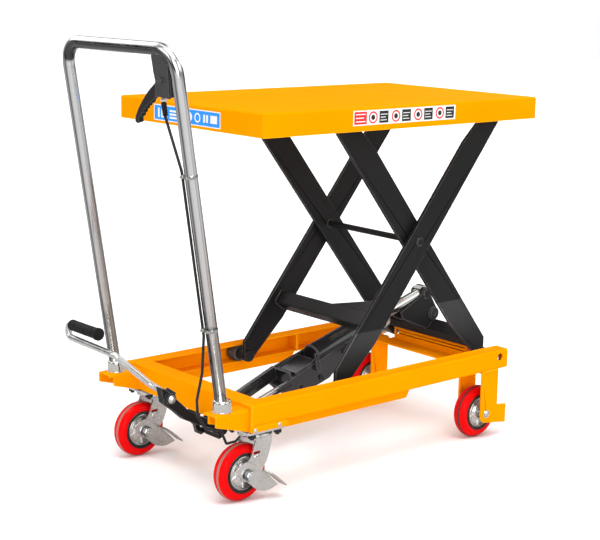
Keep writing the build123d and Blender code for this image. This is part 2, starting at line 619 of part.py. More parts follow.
# Pump frame outlines (along, across)
TAIL = [(-14, -24), (20, -24), (34, -16), (34, 16), (20, 32), (-14, 32), (-22, 24), (-22, -16)]
RIGHT_PLATE = [(198, -6), (392, 4), (470, 6), (470, -22), (390, -32), (342, -53), (230, -53),
               (204, -30)]
LEFT_PLATE = [(214, 12), (470, 8), (470, -22), (390, -32), (342, -53), (236, -53), (214, -18)]
CROSS_PLATE = [(250, 5), (312, 8), (312, 2.5), (250, -0.5)]
TIE_PLATE = [(236, -20), (241, -20), (241, 10), (236, 10)]
SLOT_LOW, SLOT_HIGH, SLOT_R = -2.6, 10.2, 10.7


def splayed_bar():
    """Straight flat bar from the tail to the left side plate."""
    plan = [(30, -4.5), (236, 21.5), (236, 30.5), (30, 4.5)]   # along, y
    corners = []
    for along, y in plan:
        x, z = on_pump(along, -15)
        corners.append(Vector(x, y, z))
    return slab(corners, Vector(-math.sin(PUMP_ANGLE), 0, math.cos(PUMP_ANGLE)) * 30)


slot = fuse(pump_prism([(-SLOT_R, SLOT_LOW), (SLOT_R, SLOT_LOW), (SLOT_R, SLOT_HIGH),
                        (-SLOT_R, SLOT_HIGH)], -10, 10),
            pump_cross(0, SLOT_HIGH, SLOT_R, -10, 10), pump_cross(0, SLOT_LOW, SLOT_R, -10, 10))
frame = fuse(pump_prism(TAIL, -5, 5), splayed_bar(),
             pump_prism(RIGHT_PLATE, -SIDE_Y1, -SIDE_Y0),
             pump_prism(LEFT_PLATE, SIDE_Y0, SIDE_Y1),
             pump_prism(CROSS_PLATE, -SIDE_Y1, SIDE_Y1),
             pump_prism(TIE_PLATE, -SIDE_Y0, SIDE_Y0))
frame = frame - slot - pump_cross(VALVE_ALONG, VALVE_ACROSS, 7.0, -40, -27)
frame = frame - plunger_cyl(230, 245, 6.6)
keep("pump_frame", frame)

block = pump_prism([(246, -46), (330, -46), (330, -2.6), (246, -2.6)], -27.9, 27.9)
block = fillet(block.edges().filter_by(Axis.Y), 4)
block = block - plunger_cyl(240, 294, PLUNGER_R + CLR)
block = block - pump_cross(VALVE_ALONG, VALVE_ACROSS, VALVE_R + CLR, -40, -12)
keep("pump_block", block)

barrel = pump_cyl(330, BARREL_END, BARREL_R) - pump_cyl(342, BARREL_END + 12, BARREL_BORE_R)
keep("cylinder_barrel", barrel)
gland = fuse(pump_cyl(BARREL_END, 560, 29.0)) - pump_cyl(540, 570, ROD_R + CLR)
keep("cylinder_gland", gland)

# Piston rod with its eye, and the piston at its lower end
rod = fuse(pump_cyl(452, EYE_ALONG - 12, ROD_R), pump_cyl(436, 452, BARREL_BORE_R - 0.1),
           pump_cross(EYE_ALONG, 0, 19.0, -12, 12))
rod = rod - pump_cross(EYE_ALONG, 0, PIN_R + CLR, -20, 20)
keep("piston_rod", rod)

# Rod bracket: two lugs on the upper face of the inner cross box, with the rod pin
LUG_Y0, LUG_Y1 = 13.7, 18.5
box_face = BOX_ALONG + BOX_LENGTH / 2
lug_points = ([on_inner(box_face, BOX_ACROSS - BOX_DEPTH / 2),
               on_inner(box_face, BOX_ACROSS + BOX_DEPTH / 2), (345, 262), (342, 276)]
              + arc_points(EYE_X, EYE_Z, 14.5, range(-10, 171, 20))
              + [(284, 314), (220, 283), (226, 266)])
lug = (prism(lug_points, LUG_Y0, LUG_Y1) + cyl_y(329, 266, 16.0, LUG_Y1, LUG_Y1 + 4)
       - cyl_y(EYE_X, EYE_Z, PIN_R, 0, 30))
rod_pin = fuse(cyl_y(EYE_X, EYE_Z, PIN_R, -21, 21), cyl_y(EYE_X, EYE_Z, 12.5, 18.6, 22),
               cyl_y(EYE_X, EYE_Z, 12.5, -22, -18.6))
keep("rod_bracket", *both(lug), rod_pin)

# Plunger rod between the foot pedal and the block
keep("pump_push_rod", fuse(plunger_cyl(18, 280, PLUNGER_R), plunger_cyl(12, 20, 7.5)))

# Release valve arm on the right side of the block
VALVE_ARM = [(305, -14), (319, -14), (315, 26), (309, 26)]
keep("release_valve_arm", fuse(pump_cross(VALVE_ALONG, VALVE_ACROSS, VALVE_R, -42, -12.5),
                               pump_prism(VALVE_ARM, -42, -38)))

# ------------------------------------------------------------------ foot pedal
PEDAL_Y0, PEDAL_Y1 = -72.0, -54.0
PEDAL_BAR_R = 7.0
SCREW_X, SCREW_Z = -503, 210.5
GRIP_X, GRIP_Z = -592, 335
# Arm outline (x, z)
PEDAL_ARM = shift([(9, -9), (12, 5), (2, 15)], TAIL_X, TAIL_Z) + [
    (-375, 138), (-395, 146), (-412, 152), (-429, 160), (-457.5, 180), (-488, 209),
    (-501, 222), (-511, 230), (-524, 237), (-516, 201), (-488, 179), (-463, 156.5),
    (-436.5, 143), (-410, 131), (-389, 123.5), (-376, 112), (TAIL_X - 7, TAIL_Z - 11)]
# Bar centre line (x, y, z)
PEDAL_BAR = [(-498, -63, 214), (-530, -36, 240), (GRIP_X, -4, 303), (GRIP_X, 174, 307),
             (GRIP_X, 174, GRIP_Z), (GRIP_X, 62, GRIP_Z)]
BAR_START = Vector(PEDAL_BAR[0])
BAR_DIR = (Vector(PEDAL_BAR[1]) - BAR_START).normalized()


def bar_cyl(setback, radius, length):
    """Cylinder on the bar's first run, starting the setback short of its first point."""
    return cyl(Plane(origin=BAR_START - BAR_DIR * setback, z_dir=BAR_DIR), radius, length)


pedal = prism(PEDAL_ARM, PEDAL_Y0, PEDAL_Y1) + cyl_y(TAIL_X, TAIL_Z, 13, PEDAL_Y0, PEDAL_Y1)
toe = fuse(pump_prism([(-6, -24), (6, -24), (6, 0), (-6, 0)], -60, PEDAL_Y1),
           pump_prism([(-6, -24), (6, -24), (6, -13.4), (-6, -13.4)], -60, -9))
pedal = fuse(pedal, toe) - cyl_y(TAIL_X, TAIL_Z, SHAFT_R + CLR, -100, 10)
pedal = fuse(pedal, bar_cyl(10, 13.0, 22), cyl_y(SCREW_X, SCREW_Z, 12.0, -80.4, -70))
keep("pedal_arm", pedal - bar_cyl(14, PEDAL_BAR_R + CLR, 60))
keep("pedal_bar", tube_path(PEDAL_BAR, 13, PEDAL_BAR_R) + bar_cyl(12, PEDAL_BAR_R, 14))

# Grip with nine grooves and an end flange
grip = cyl_y(GRIP_X, GRIP_Z, 12.0, 60, 158)
for k in range(9):
    groove_y = 70 + k * 9.6
    grip = grip - (cyl_y(GRIP_X, GRIP_Z, 13.0, groove_y, groove_y + 3)
                   - cyl_y(GRIP_X, GRIP_Z, 10.8, groove_y - 1, groove_y + 4))
grip = grip + cyl_y(GRIP_X, GRIP_Z, 13.5, 54, 61)
grip = grip - cyl_y(GRIP_X, GRIP_Z, PEDAL_BAR_R + CLR, 61, 170)
keep("pedal_grip", grip)

# Clamp bolt, and the return spring round the tail shaft
pedal_bolt = fuse(cyl_y(SCREW_X, SCREW_Z, 9.0, -83.0, -80.5),
                  cyl_y(SCREW_X, SCREW_Z, 6.0, -87.0, -83.0))
helix = Helix(pitch=4.2, height=25.2, radius=11.2, center=(0, 0, 0), direction=(0, 0, 1))
wire_start = Plane(origin=helix @ 0, z_dir=helix % 0)
coil = sweep(wire_start * Circle(1.5), path=helix, is_frenet=True)
coil = Pos(TAIL_X, -45.8, TAIL_Z) * Rot(-90, 0, 0) * coil
keep("pedal_spring_and_bolt", pedal_bolt, Part() + coil)
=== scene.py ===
"""Hydraulic scissor lift table on wheels, with a push handle and a foot pump.

X runs along the deck, with the handle and the casters at -X and the fixed wheels at +X.
Left is +Y, Z is up and the floor is z = 0. Sizes are in mm with x = 0 at the deck centre;
place() turns them into metres in the frame. Bevels, bump depths and lights are in metres.
"""
import bpy
import bmesh
import math
from collections import namedtuple
from mathutils import Matrix, Vector


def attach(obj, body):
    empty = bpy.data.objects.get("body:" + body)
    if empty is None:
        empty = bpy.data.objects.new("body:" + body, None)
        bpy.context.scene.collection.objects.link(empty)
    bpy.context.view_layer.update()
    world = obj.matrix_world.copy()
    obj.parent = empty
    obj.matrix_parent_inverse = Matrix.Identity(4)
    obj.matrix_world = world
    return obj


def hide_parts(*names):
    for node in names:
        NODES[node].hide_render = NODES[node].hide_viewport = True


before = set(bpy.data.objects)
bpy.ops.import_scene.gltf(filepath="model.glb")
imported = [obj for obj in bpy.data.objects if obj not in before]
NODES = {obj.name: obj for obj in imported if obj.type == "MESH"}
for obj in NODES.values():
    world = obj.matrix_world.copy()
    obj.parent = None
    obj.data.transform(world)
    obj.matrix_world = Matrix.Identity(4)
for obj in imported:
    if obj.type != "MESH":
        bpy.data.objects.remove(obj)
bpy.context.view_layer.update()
scene = bpy.context.scene

# ------------------------------------------------------------------ driving dimensions
DECK_CENTRE_X = 99.75         # the deck centre in the frame
SIDES = (("left", 1), ("right", -1))

WHEEL_Z = 62.5
CASTER_X, CASTER_Y = -405.0, 184.0
SWIVEL_X = -365
FIXED_X, FIXED_Y = 307.0, 188.0

HANDLE_Y = 193
HANDLE_FOOT_X, HANDLE_FOOT_Z = -458.0, 204.0
HANDLE_LEAN = math.radians(9.3)

OUTER_FOOT_X, INNER_FOOT_X, ARM_FOOT_Z = -110, 361, 190
ARM_RUN, ARM_RISE = INNER_FOOT_X - OUTER_FOOT_X, 595.0
ARM_SLOPE = math.atan2(ARM_RISE, ARM_RUN)

PUMP_FOOT_X, PUMP_FOOT_Z = -364.0, 116.0
ROD_PIN_X, ROD_PIN_Z = 303.0, 319.0
PUMP_SLOPE = math.atan2(ROD_PIN_Z - PUMP_FOOT_Z, ROD_PIN_X - PUMP_FOOT_X)


def place(x, y, z):
    """Point in mm to metres in the frame."""
    return Vector(((x + DECK_CENTRE_X) / 1000.0, y / 1000.0, z / 1000.0))


# ------------------------------------------------------------------ shader graph helpers
def rgba(value):
    """A grey level or an RGB triple as opaque RGBA; sockets pass through."""
    if isinstance(value, (int, float)):
        return (value, value, value, 1.0)
    if isinstance(value, tuple):
        return (*value, 1.0)
    return value


class Graph:
    """Shorthand for building one node tree."""

    def __init__(self, tree):
        self.tree = tree
        tree.nodes.clear()

    def add(self, kind, **settings):
        node = self.tree.nodes.new(kind)
        for key, value in settings.items():
            setattr(node, key, value)
        return node

    def wire(self, socket, value):
        """Link a socket, or set a constant."""
        if isinstance(value, bpy.types.NodeSocket):
            self.tree.links.new(value, socket)
        else:
            socket.default_value = value

    def feed(self, name, value):
        """Set or link a named input of the Principled shader."""
        self.wire(self.bsdf.inputs[name], value)

    def coordinates(self, scale=(1, 1, 1)):
        source = self.add("ShaderNodeTexCoord")
        mapping = self.add("ShaderNodeMapping")
        mapping.inputs["Scale"].default_value = scale
        self.wire(mapping.inputs["Vector"], source.outputs["Object"])
        return mapping.outputs["Vector"]

    def split(self, vector):
        node = self.add("ShaderNodeSeparateXYZ")
        self.wire(node.inputs[0], vector)
        return node.outputs

    def noise(self, vector, scale, detail=3.0, roughness=0.5):
        node = self.add("ShaderNodeTexNoise")
        node.inputs["Scale"].default_value = scale
        node.inputs["Detail"].default_value = detail
        node.inputs["Roughness"].default_value = roughness
        self.wire(node.inputs["Vector"], vector)
        return node.outputs["Fac"]

    def ramp(self, factor, *stops):
        """Colour ramp; each stop is (position, grey level)."""
        node = self.add("ShaderNodeValToRGB")
        elements = node.color_ramp.elements
        while len(elements) > 1:
            elements.remove(elements[-1])
        elements[0].position = stops[0][0]
        elements[0].color = rgba(stops[0][1])
        for position, grey in stops[1:]:
            elements.new(position).color = rgba(grey)
        self.wire(node.inputs["Fac"], factor)
        return node.outputs["Color"]

    def mix(self, factor, low, high, mode="MIX"):
        """Colour mix; inputs 6 and 7 and output 2 are the node's colour sockets."""
        node = self.add("ShaderNodeMix", data_type="RGBA", blend_type=mode)
        self.wire(node.inputs["Factor"], factor)
        self.wire(node.inputs[6], rgba(low))
        self.wire(node.inputs[7], rgba(high))
        return node.outputs[2]

    def multiply(self, first, second):
        return self.mix(1.0, first, second, "MULTIPLY")

    def calc(self, operation, *operands):
        node = self.add("ShaderNodeMath", operation=operation)
        for socket, value in zip(node.inputs, operands):
            self.wire(socket, value)
        return node.outputs[0]

    def bump(self, height, strength, depth):
        node = self.add("ShaderNodeBump")
        node.inputs["Strength"].default_value = strength
        node.inputs["Distance"].default_value = depth
        self.wire(node.inputs["Height"], height)
        self.feed("Normal", node.outputs["Normal"])

    def edge_highlight_mask(self):
        """1 within about a millimetre of a corner, 0 on the flats; it places the painted edge
        highlight.
        """
        geometry = self.add("ShaderNodeNewGeometry")
        rounded = self.add("ShaderNodeBevel", samples=3)
        rounded.inputs["Radius"].default_value = 0.0014
        dot = self.add("ShaderNodeVectorMath", operation="DOT_PRODUCT")
        self.wire(dot.inputs[0], rounded.outputs[0])
        self.wire(dot.inputs[1], geometry.outputs["Normal"])
        turn = self.calc("SUBTRACT", 1.0, dot.outputs["Value"])
        return self.ramp(turn, (0.02, 0), (0.16, 1))

    def wheel_radius(self, axes, centre_x):
        """Distance in metres from a wheel's axle line."""
        dx = self.calc("SUBTRACT", axes["X"], (centre_x + DECK_CENTRE_X) / 1000.0)
        dz = self.calc("SUBTRACT", axes["Z"], WHEEL_Z / 1000.0)
        squares = self.calc("ADD", self.calc("MULTIPLY", dx, dx), self.calc("MULTIPLY", dz, dz))
        return self.calc("SQRT", squares)


def new_material(name):
    material = bpy.data.materials.new(name)
    material.use_nodes = True
    graph = Graph(material.node_tree)
    output = graph.add("ShaderNodeOutputMaterial")
    graph.bsdf = graph.add("ShaderNodeBsdfPrincipled")
    graph.surface = output.inputs["Surface"]
    graph.wire(graph.surface, graph.bsdf.outputs["BSDF"])
    return material, graph


# ------------------------------------------------------------------ material families
def paint(name, base, light, dark, roughness, specular, peel=0.00006, clearcoat=0.0,
          mirrored=None):
    """Sprayed coat: base drifting to dark, light painted on the edges as a highlight, fine specks
    and orange peel.

    mirrored is the colour that reflections of the paint take, if not its own.
    """
    material, graph = new_material(name)
    where = graph.coordinates()
    drift = graph.ramp(graph.noise(where, scale=5.0, detail=4.0), (0.3, 0), (0.7, 1))
    colour = graph.mix(drift, dark, base)
    speck = graph.ramp(graph.noise(where, scale=900.0, detail=2.0), (0.35, 0), (0.42, 1))
    colour = graph.mix(speck, tuple(0.86 * level for level in base), colour)
    # painted highlight: corners take the colour light
    colour = graph.mix(graph.edge_highlight_mask(), colour, light)
    graph.feed("Roughness", graph.ramp(graph.noise(where, scale=26.0, detail=4.0),
                                       (0.25, roughness - 0.07), (0.75, roughness + 0.09)))
    graph.feed("Specular IOR Level", specular)
    graph.feed("Coat Weight", clearcoat)
    graph.feed("Coat Roughness", 0.12)
    graph.bump(graph.noise(where, scale=420.0, detail=2.0, roughness=0.6),
               strength=0.35, depth=peel)
    if mirrored:
        rays = graph.add("ShaderNodeLightPath")
        colour = graph.mix(rays.outputs["Is Glossy Ray"], colour, mirrored)
    graph.feed("Base Color", colour)
    return material


def metal(name, base, roughness, blotch=0.12, brushed=None, dirt=0.25,
          warmth=(1.03, 1.0, 0.94), tint=None, painted_light=None):
    """Plated or machined steel: blotches, fine grain and grime.

    brushed stretches the grain, tint adds coloured patches, and painted_light(graph, colour)
    may paint reflections and shade into the final colour.
    """
    material, graph = new_material(name)
    where = graph.coordinates()
    drift = graph.ramp(graph.noise(where, scale=34.0, detail=5.0, roughness=0.6),
                       (0.3, 0), (0.72, 1))
    blotched = tuple(max(0.0, level * (1 - blotch)) * warm for level, warm in zip(base, warmth))
    colour = graph.mix(drift, blotched, base)
    if tint:
        patches = graph.ramp(graph.noise(where, scale=60.0), (0.5, 0), (0.68, 0.35))
        colour = graph.mix(patches, colour, tint)
    grime = graph.ramp(graph.noise(where, scale=90.0, detail=6.0, roughness=0.7),
                       (0.52, 0), (0.75, dirt))
    colour = graph.mix(grime, colour, (base[0] * 0.35, base[1] * 0.33, base[2] * 0.30))
    graph.feed("Metallic", 1.0)
    graph.feed("Roughness", graph.ramp(graph.noise(where, scale=55.0, detail=5.0),
                                       (0.3, max(0.02, roughness - 0.06)),
                                       (0.75, roughness + 0.12)))
    grain = graph.coordinates(brushed) if brushed else where
    graph.bump(graph.noise(grain, scale=700.0, roughness=0.6), strength=0.25, depth=0.00005)
    # painted reflections and painted shade, where given
    if painted_light:
        colour = painted_light(graph, colour)
    graph.feed("Base Color", colour)
    return material


def handle_painted_light(graph, colour):
    """Painted reflections: dark streaks down the handle legs, and painted shade under the
    crossbar.
    """
    geometry = graph.add("ShaderNodeNewGeometry")
    normal = graph.split(geometry.outputs["Normal"])
    position = graph.split(geometry.outputs["Position"])
    # 0 on the legs, 1 on the crossbar; the legs ignore the normal's vertical part
    crossbar = graph.ramp(position["Z"], (0.868, 0), (0.916, 1))
    rise = graph.calc("MULTIPLY", normal["Z"], crossbar)
    flat = graph.add("ShaderNodeCombineXYZ")
    graph.wire(flat.inputs["X"], normal["X"])
    graph.wire(flat.inputs["Y"], normal["Y"])
    graph.wire(flat.inputs["Z"], rise)
    unit = graph.add("ShaderNodeVectorMath", operation="NORMALIZE")
    graph.wire(unit.inputs[0], flat.outputs[0])
    to_camera = graph.add("ShaderNodeVectorTransform", vector_type="NORMAL",
                          convert_from="WORLD", convert_to="CAMERA")
    graph.wire(to_camera.inputs[0], unit.outputs[0])
    view = graph.split(to_camera.outputs[0])

    across = graph.calc("ADD", graph.calc("MULTIPLY", view["X"], 0.5), 0.5)
    # painted reflection streaks: grey levels set by which way the surface faces across the view
    streaks = graph.ramp(across, (0.0, 0.12), (0.05, 0.45), (0.19, 0.50), (0.255, 0.11),
                         (0.32, 0.34), (0.40, 0.80), (0.50, 0.95), (0.73, 1.0), (0.81, 0.60),
                         (0.88, 0.90), (0.965, 0.35), (1.0, 0.6))
    steepness = graph.calc("MULTIPLY", graph.calc("ABSOLUTE", normal["Z"]), crossbar)
    weight = graph.ramp(steepness, (0.18, 1), (0.36, 0))
    colour = graph.mix(weight, colour, graph.multiply(colour, streaks))
    # painted shade on the crossbar's downward faces; the legs get none
    offset = graph.calc("SUBTRACT", 0.80, graph.calc("MULTIPLY", crossbar, 0.30))
    painted_underside_shade = graph.ramp(graph.calc("ADD", rise, offset), (0.42, 0.10), (0.56, 1.0))
    return graph.multiply(colour, painted_underside_shade)


def rubber(name, base, roughness, specular, grain=260.0, depth=0.0002):
    material, graph = new_material(name)
    where = graph.coordinates()
    drift = graph.ramp(graph.noise(where, scale=40.0, detail=4.0), (0.3, 0), (0.8, 1))
    worn = tuple(min(1.0, level * 1.6 + 0.008) for level in base)
    graph.feed("Base Color", graph.mix(drift, base, worn))
    graph.feed("Roughness", graph.ramp(graph.noise(where, scale=70.0),
                                       (0.3, roughness - 0.08), (0.7, roughness + 0.1)))
    graph.feed("Specular IOR Level", specular)
    graph.bump(graph.noise(where, scale=grain), strength=0.4, depth=depth)
    return material


def tyre(name, centre_x, centre_y, band_colour):
    """Red tread with a scuffed running band 5 mm to the -Y side of its middle, and dust."""
    material, graph = new_material(name)
    where = graph.coordinates()
    axes = graph.split(where)
    from_band = graph.calc("ABSOLUTE",
                           graph.calc("SUBTRACT", axes["Y"], (centre_y - 5.0) / 1000.0))
    radius = graph.wheel_radius(axes, centre_x)
    wobble = graph.calc("SUBTRACT", graph.noise(where, scale=130.0, detail=4.0), 0.5)
    wobble = graph.calc("MULTIPLY", wobble, 0.0012)
    # the factors bring metres into the ramps' 0 to 1 range
    spread = graph.calc("MULTIPLY", graph.calc("ADD", from_band, wobble), 100.0)
    band = graph.ramp(spread, (0.22, 1), (0.33, 0))
    tread = graph.ramp(graph.calc("MULTIPLY", radius, 10.0), (0.555, 0), (0.59, 1))
    band = graph.multiply(band, tread)
    red = graph.mix(graph.noise(where, scale=22.0, detail=4.0),
                    (0.60, 0.0015, 0.002), (0.76, 0.003, 0.004))
    dust = graph.ramp(graph.noise(where, scale=160.0, detail=6.0, roughness=0.7),
                      (0.58, 0), (0.8, 0.30))
    red = graph.mix(dust, red, (0.55, 0.07, 0.05))
    wear = graph.ramp(graph.noise(where, scale=240.0, detail=4.0), (0.35, 0.65), (0.6, 0.98))
    scuffed = graph.mix(wear, red, band_colour)
    graph.feed("Base Color", graph.mix(band, red, scuffed))
    graph.feed("Roughness", graph.mix(band, 0.24, 0.62))
    graph.feed("Specular IOR Level", 0.05)
    graph.bump(graph.noise(where, scale=300.0), strength=0.25, depth=0.00012)
    return material


def rim(name, centre_x):
    """Black flange outside, plated pressing inside, changing over at 36 mm radius."""
    material, graph = new_material(name)
    where = graph.coordinates()
    radius = graph.wheel_radius(graph.split(where), centre_x)
    flange = graph.ramp(graph.calc("MULTIPLY", radius, 10.0), (0.360, 0), (0.366, 1))
    plating = graph.mix(graph.noise(where, scale=60.0, detail=4.0),
                        (0.60, 0.61, 0.62), (0.78, 0.78, 0.77))
    graph.feed("Base Color", graph.mix(flange, plating, 0.010))
    graph.feed("Metallic", graph.mix(flange, 1.0, 0.0))
    graph.feed("Roughness", graph.mix(flange, 0.24, 0.40))
    graph.bump(graph.noise(where, scale=500.0), strength=0.2, depth=0.00008)
    return material


def printed(name, base):
    """Label ink."""
    material, graph = new_material(name)
    where = graph.coordinates()
    drift = graph.ramp(graph.noise(where, scale=60.0, detail=4.0), (0.3, 0), (0.7, 1))
    graph.feed("Base Color", graph.mix(drift, tuple(0.92 * level for level in base), base))
    graph.feed("Roughness", graph.ramp(graph.noise(where, scale=90.0), (0.3, 0.25), (0.7, 0.38)))
    graph.bump(graph.noise(where, scale=500.0, detail=2.0), strength=0.15, depth=0.00004)
    return material


# ------------------------------------------------------------------ the materials
# light is each paint's painted edge highlight
YELLOW = paint("yellow_powder_coat", base=(0.92, 0.290, 0.0), light=(1.0, 0.60, 0.03),
               dark=(0.89, 0.268, 0.0), roughness=0.42, specular=0.002, peel=0.00008,
               mirrored=(0.50, 0.47, 0.42))
BLACK = paint("satin_black_paint", base=(0.0135, 0.0135, 0.0138), light=(0.24, 0.24, 0.24),
              dark=(0.0095, 0.0095, 0.010), roughness=0.38, specular=0.14, peel=0.00007)
GLOSS_BLACK = paint("gloss_black_paint", base=(0.012, 0.012, 0.013), light=(0.26, 0.26, 0.26),
                    dark=(0.008, 0.008, 0.009), roughness=0.15, specular=0.50, peel=0.00004,
                    clearcoat=0.30)
CASTING = paint("painted_casting", base=(0.015, 0.015, 0.016), light=(0.10, 0.10, 0.10),
                dark=(0.009, 0.009, 0.009), roughness=0.48, specular=0.25, peel=0.0004)
ZINC = metal("zinc_plate", (0.80, 0.81, 0.81), roughness=0.25, dirt=0.35,
             tint=(0.68, 0.72, 0.84))
HUB = metal("pressed_hub_zinc", (0.93, 0.93, 0.93), roughness=0.30, blotch=0.06, dirt=0.12)
# light is the painted edge highlight
BRACKET = paint("lever_bracket_grey", base=(0.040, 0.041, 0.043), light=(0.16, 0.16, 0.16),
                dark=(0.030, 0.030, 0.032), roughness=0.42, specular=0.25)
DULL_ZINC = metal("zinc_plate_dull", (0.30, 0.30, 0.30), roughness=0.34, dirt=0.5)
STEEL = metal("machined_steel", (0.52, 0.52, 0.51), roughness=0.22, brushed=(1, 14, 1))
GROUND_ROD = metal("ground_rod", (0.78, 0.78, 0.78), roughness=0.12, blotch=0.05, dirt=0.15)
# painted reflection streaks and painted shade on the handle tube
CHROME = metal("bright_chrome", (0.90, 0.90, 0.905), roughness=0.17, blotch=0.03, dirt=0.05,
               warmth=(1, 1, 1), painted_light=handle_painted_light)
GRIP = rubber("ribbed_rubber", (0.008, 0.008, 0.008), roughness=0.5, specular=0.10)
SHEATH = rubber("cable_sheath", (0.010, 0.010, 0.010), roughness=0.38, specular=0.3,
                grain=120.0, depth=0.00005)
RING_RUBBER = rubber("rim_ring_rubber", (0.006, 0.006, 0.006), roughness=0.42, specular=0.4)
NYLON = rubber("roller_nylon", (0.05, 0.05, 0.05), roughness=0.45, specular=0.4)
PRINT_WHITE = printed("print_white", (0.80, 0.80, 0.80))
PRINT_BLUE = printed("print_blue", (0.0, 0.27, 0.95))
PRINT_RED = printed("print_red", (0.72, 0.012, 0.010))
PRINT_BLACK = printed("print_black", (0.012, 0.012, 0.012))

# ------------------------------------------------------------------ CAD nodes
# nodes not listed here are yellow
CAD_GROUPS = (
    (ZINC, "pedal_bar cylinder_gland pump_push_rod pedal_spring_and_bolt"),
    (CASTING, "caster_bolts_and_king_pins lower_roller_pins pump_block"),
    (CHROME, "handle_tube"),
    (BLACK, "outer_arm_left outer_arm_right inner_arm_left inner_arm_right outer_cross_tube "
            "inner_cross_box rod_bracket pedal_arm pump_hangers centre_shaft hand_lever"),
    (GLOSS_BLACK, "pump_frame release_valve_arm cylinder_barrel"),
    (BRACKET, "hand_lever_bracket"),
    (NYLON, "lower_roller_left lower_roller_right upper_roller_left upper_roller_right"),
    (STEEL, "upper_roller_pins deck_pivots lower_pivots"),
    (GROUND_ROD, "piston_rod"),
    (GRIP, "pedal_grip"),
    (SHEATH, "release_cable cable_clips_and_boot"),
)
CAD_MATERIALS = {name: material for material, names in CAD_GROUPS for name in names.split()}
ZINC_PREFIXES = ("caster_axle", "caster_fork", "caster_top", "caster_brake",
                 "fixed_wheel_axles")

# edge rounding in metres
DEFAULT_BEVEL = 0.0009
TYRE_BEVEL = 0.0004
CAD_BEVELS = {
    "deck_plate": 0.0010, "hand_lever": 0.0010, "pedal_grip": 0.0006,
    "caster_bolts_and_king_pins": 0.0006, "hand_lever_bracket": 0.0005,
    "cable_clips_and_boot": 0.0004, "handle_tube": 0.0, "release_cable": 0.0,
    "pedal_bar": 0.0, "pedal_spring_and_bolt": 0.0,
}
CASTER_BAND, FIXED_BAND = (0.27, 0.19, 0.16), (0.05, 0.04, 0.04)


def cad_material(name):
    if "rim" in name or "tyre" in name:
        side = 1 if name.endswith("left") else -1
        caster = name.startswith("caster")
        centre_x = CASTER_X if caster else FIXED_X
        if "tyre" in name:
            return tyre(name + "_mat", centre_x, side * (CASTER_Y if caster else FIXED_Y),
                        CASTER_BAND if caster else FIXED_BAND)
        return rim(name + "_mat", centre_x)
    if name.startswith(ZINC_PREFIXES):
        return ZINC
    return CAD_MATERIALS.get(name, YELLOW)


def add_bevel(obj, width, angle):
    bevel = obj.modifiers.new("edge", "BEVEL")
    bevel.width = width
    bevel.segments = 2
    bevel.limit_method = "ANGLE"
    bevel.angle_limit = math.radians(angle)
    bevel.harden_normals = True
    return bevel


def dress_cad_node(name, obj):
    """Give a CAD node its material, smooth shading and rounded edges."""
    mesh = obj.data
    mesh.materials.clear()
    mesh.materials.append(cad_material(name))
    with bpy.context.temp_override(object=obj, active_object=obj, selected_objects=[obj],
                                   mesh=mesh):
        if mesh.has_custom_normals:
            bpy.ops.mesh.customdata_custom_splitnormals_clear()
    mesh.polygons.foreach_set("use_smooth", [True] * len(mesh.polygons))
    obj.modifiers.new("weld", "WELD").merge_threshold = 0.00001
    width = TYRE_BEVEL if "tyre" in name else CAD_BEVELS.get(name, DEFAULT_BEVEL)
    if width > 0:
        add_bevel(obj, width, angle=38).use_clamp_overlap = True
    mesh.update()


for node_name, node_object in NODES.items():
    dress_cad_node(node_name, node_object)

COLLAR = metal("plated_collar", (0.80, 0.80, 0.79), roughness=0.14, dirt=0.15)

# ------------------------------------------------------------------ mesh helpers
# what a piece is made of, the body it rides on and its material slot
Skin = namedtuple("Skin", "material body slot")

ZINC_BASE = Skin(ZINC, "base", "zinc_plate")
DULL_BASE = Skin(DULL_ZINC, "base", "zinc_plate")
STEEL_BASE = Skin(STEEL, "base", "zinc_plate")
COLLAR_BASE = Skin(COLLAR, "base", "zinc_plate")
SEAM = Skin(DULL_ZINC, "base", "chrome_tube")
BOOT = Skin(GRIP, "base", "grip_rubber")
YELLOW_BASE = Skin(YELLOW, "base", "yellow_paint")
OUTER_ARMS = Skin(BLACK, "outer_arms", "black_paint")
INNER_ARMS = Skin(BLACK, "inner_arms", "black_paint")
BARREL = Skin(GLOSS_BLACK, "pump_unit", "barrel_paint")
PUMP_CASTING = Skin(CASTING, "pump_unit", "zinc_plate")


def finish_mesh(name, bm, skin, smooth=30.0, bevel=0.0):
    """Make the object; corners over smooth degrees are bevelled, or sharp if bevel is 0."""
    bmesh.ops.recalc_face_normals(bm, faces=bm.faces[:])
    mesh = bpy.data.meshes.new(name)
    bm.to_mesh(mesh)
    bm.free()
    obj = bpy.data.objects.new(name, mesh)
    scene.collection.objects.link(obj)
    mesh.materials.append(skin.material)
    mesh.polygons.foreach_set("use_smooth", [True] * len(mesh.polygons))
    if bevel > 0:
        add_bevel(obj, bevel, smooth)
    else:
        mesh.set_sharp_from_angle(angle=math.radians(smooth))
    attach(obj, skin.body)
    return obj


def basis(axis):
    """Unit axis and two unit vectors across it."""
    along = Vector(axis).normalized()
    helper = Vector((0, 0, 1)) if abs(along.z) < 0.9 else Vector((1, 0, 0))
    across = along.cross(helper).normalized()
    return along, across, along.cross(across)


def add_ring(bm, centre, across, other, radius, count):
    """Circle of vertices; radius in metres."""
    angles = [2 * math.pi * k / count for k in range(count)]
    return [bm.verts.new(centre + (across * math.cos(t) + other * math.sin(t)) * radius)
            for t in angles]


def loft(bm, rings, closed=False):
    """Join equal rings with quads, capping the ends unless the row is closed."""
    following = rings[1:] + rings[:1] if closed else rings[1:]
    for ring, after in zip(rings, following):
        count = len(ring)
        for k in range(count):
            bm.faces.new((ring[k], ring[(k + 1) % count], after[(k + 1) % count], after[k]))
    if not closed:
        bm.faces.new(rings[0][::-1])
        bm.faces.new(rings[-1])


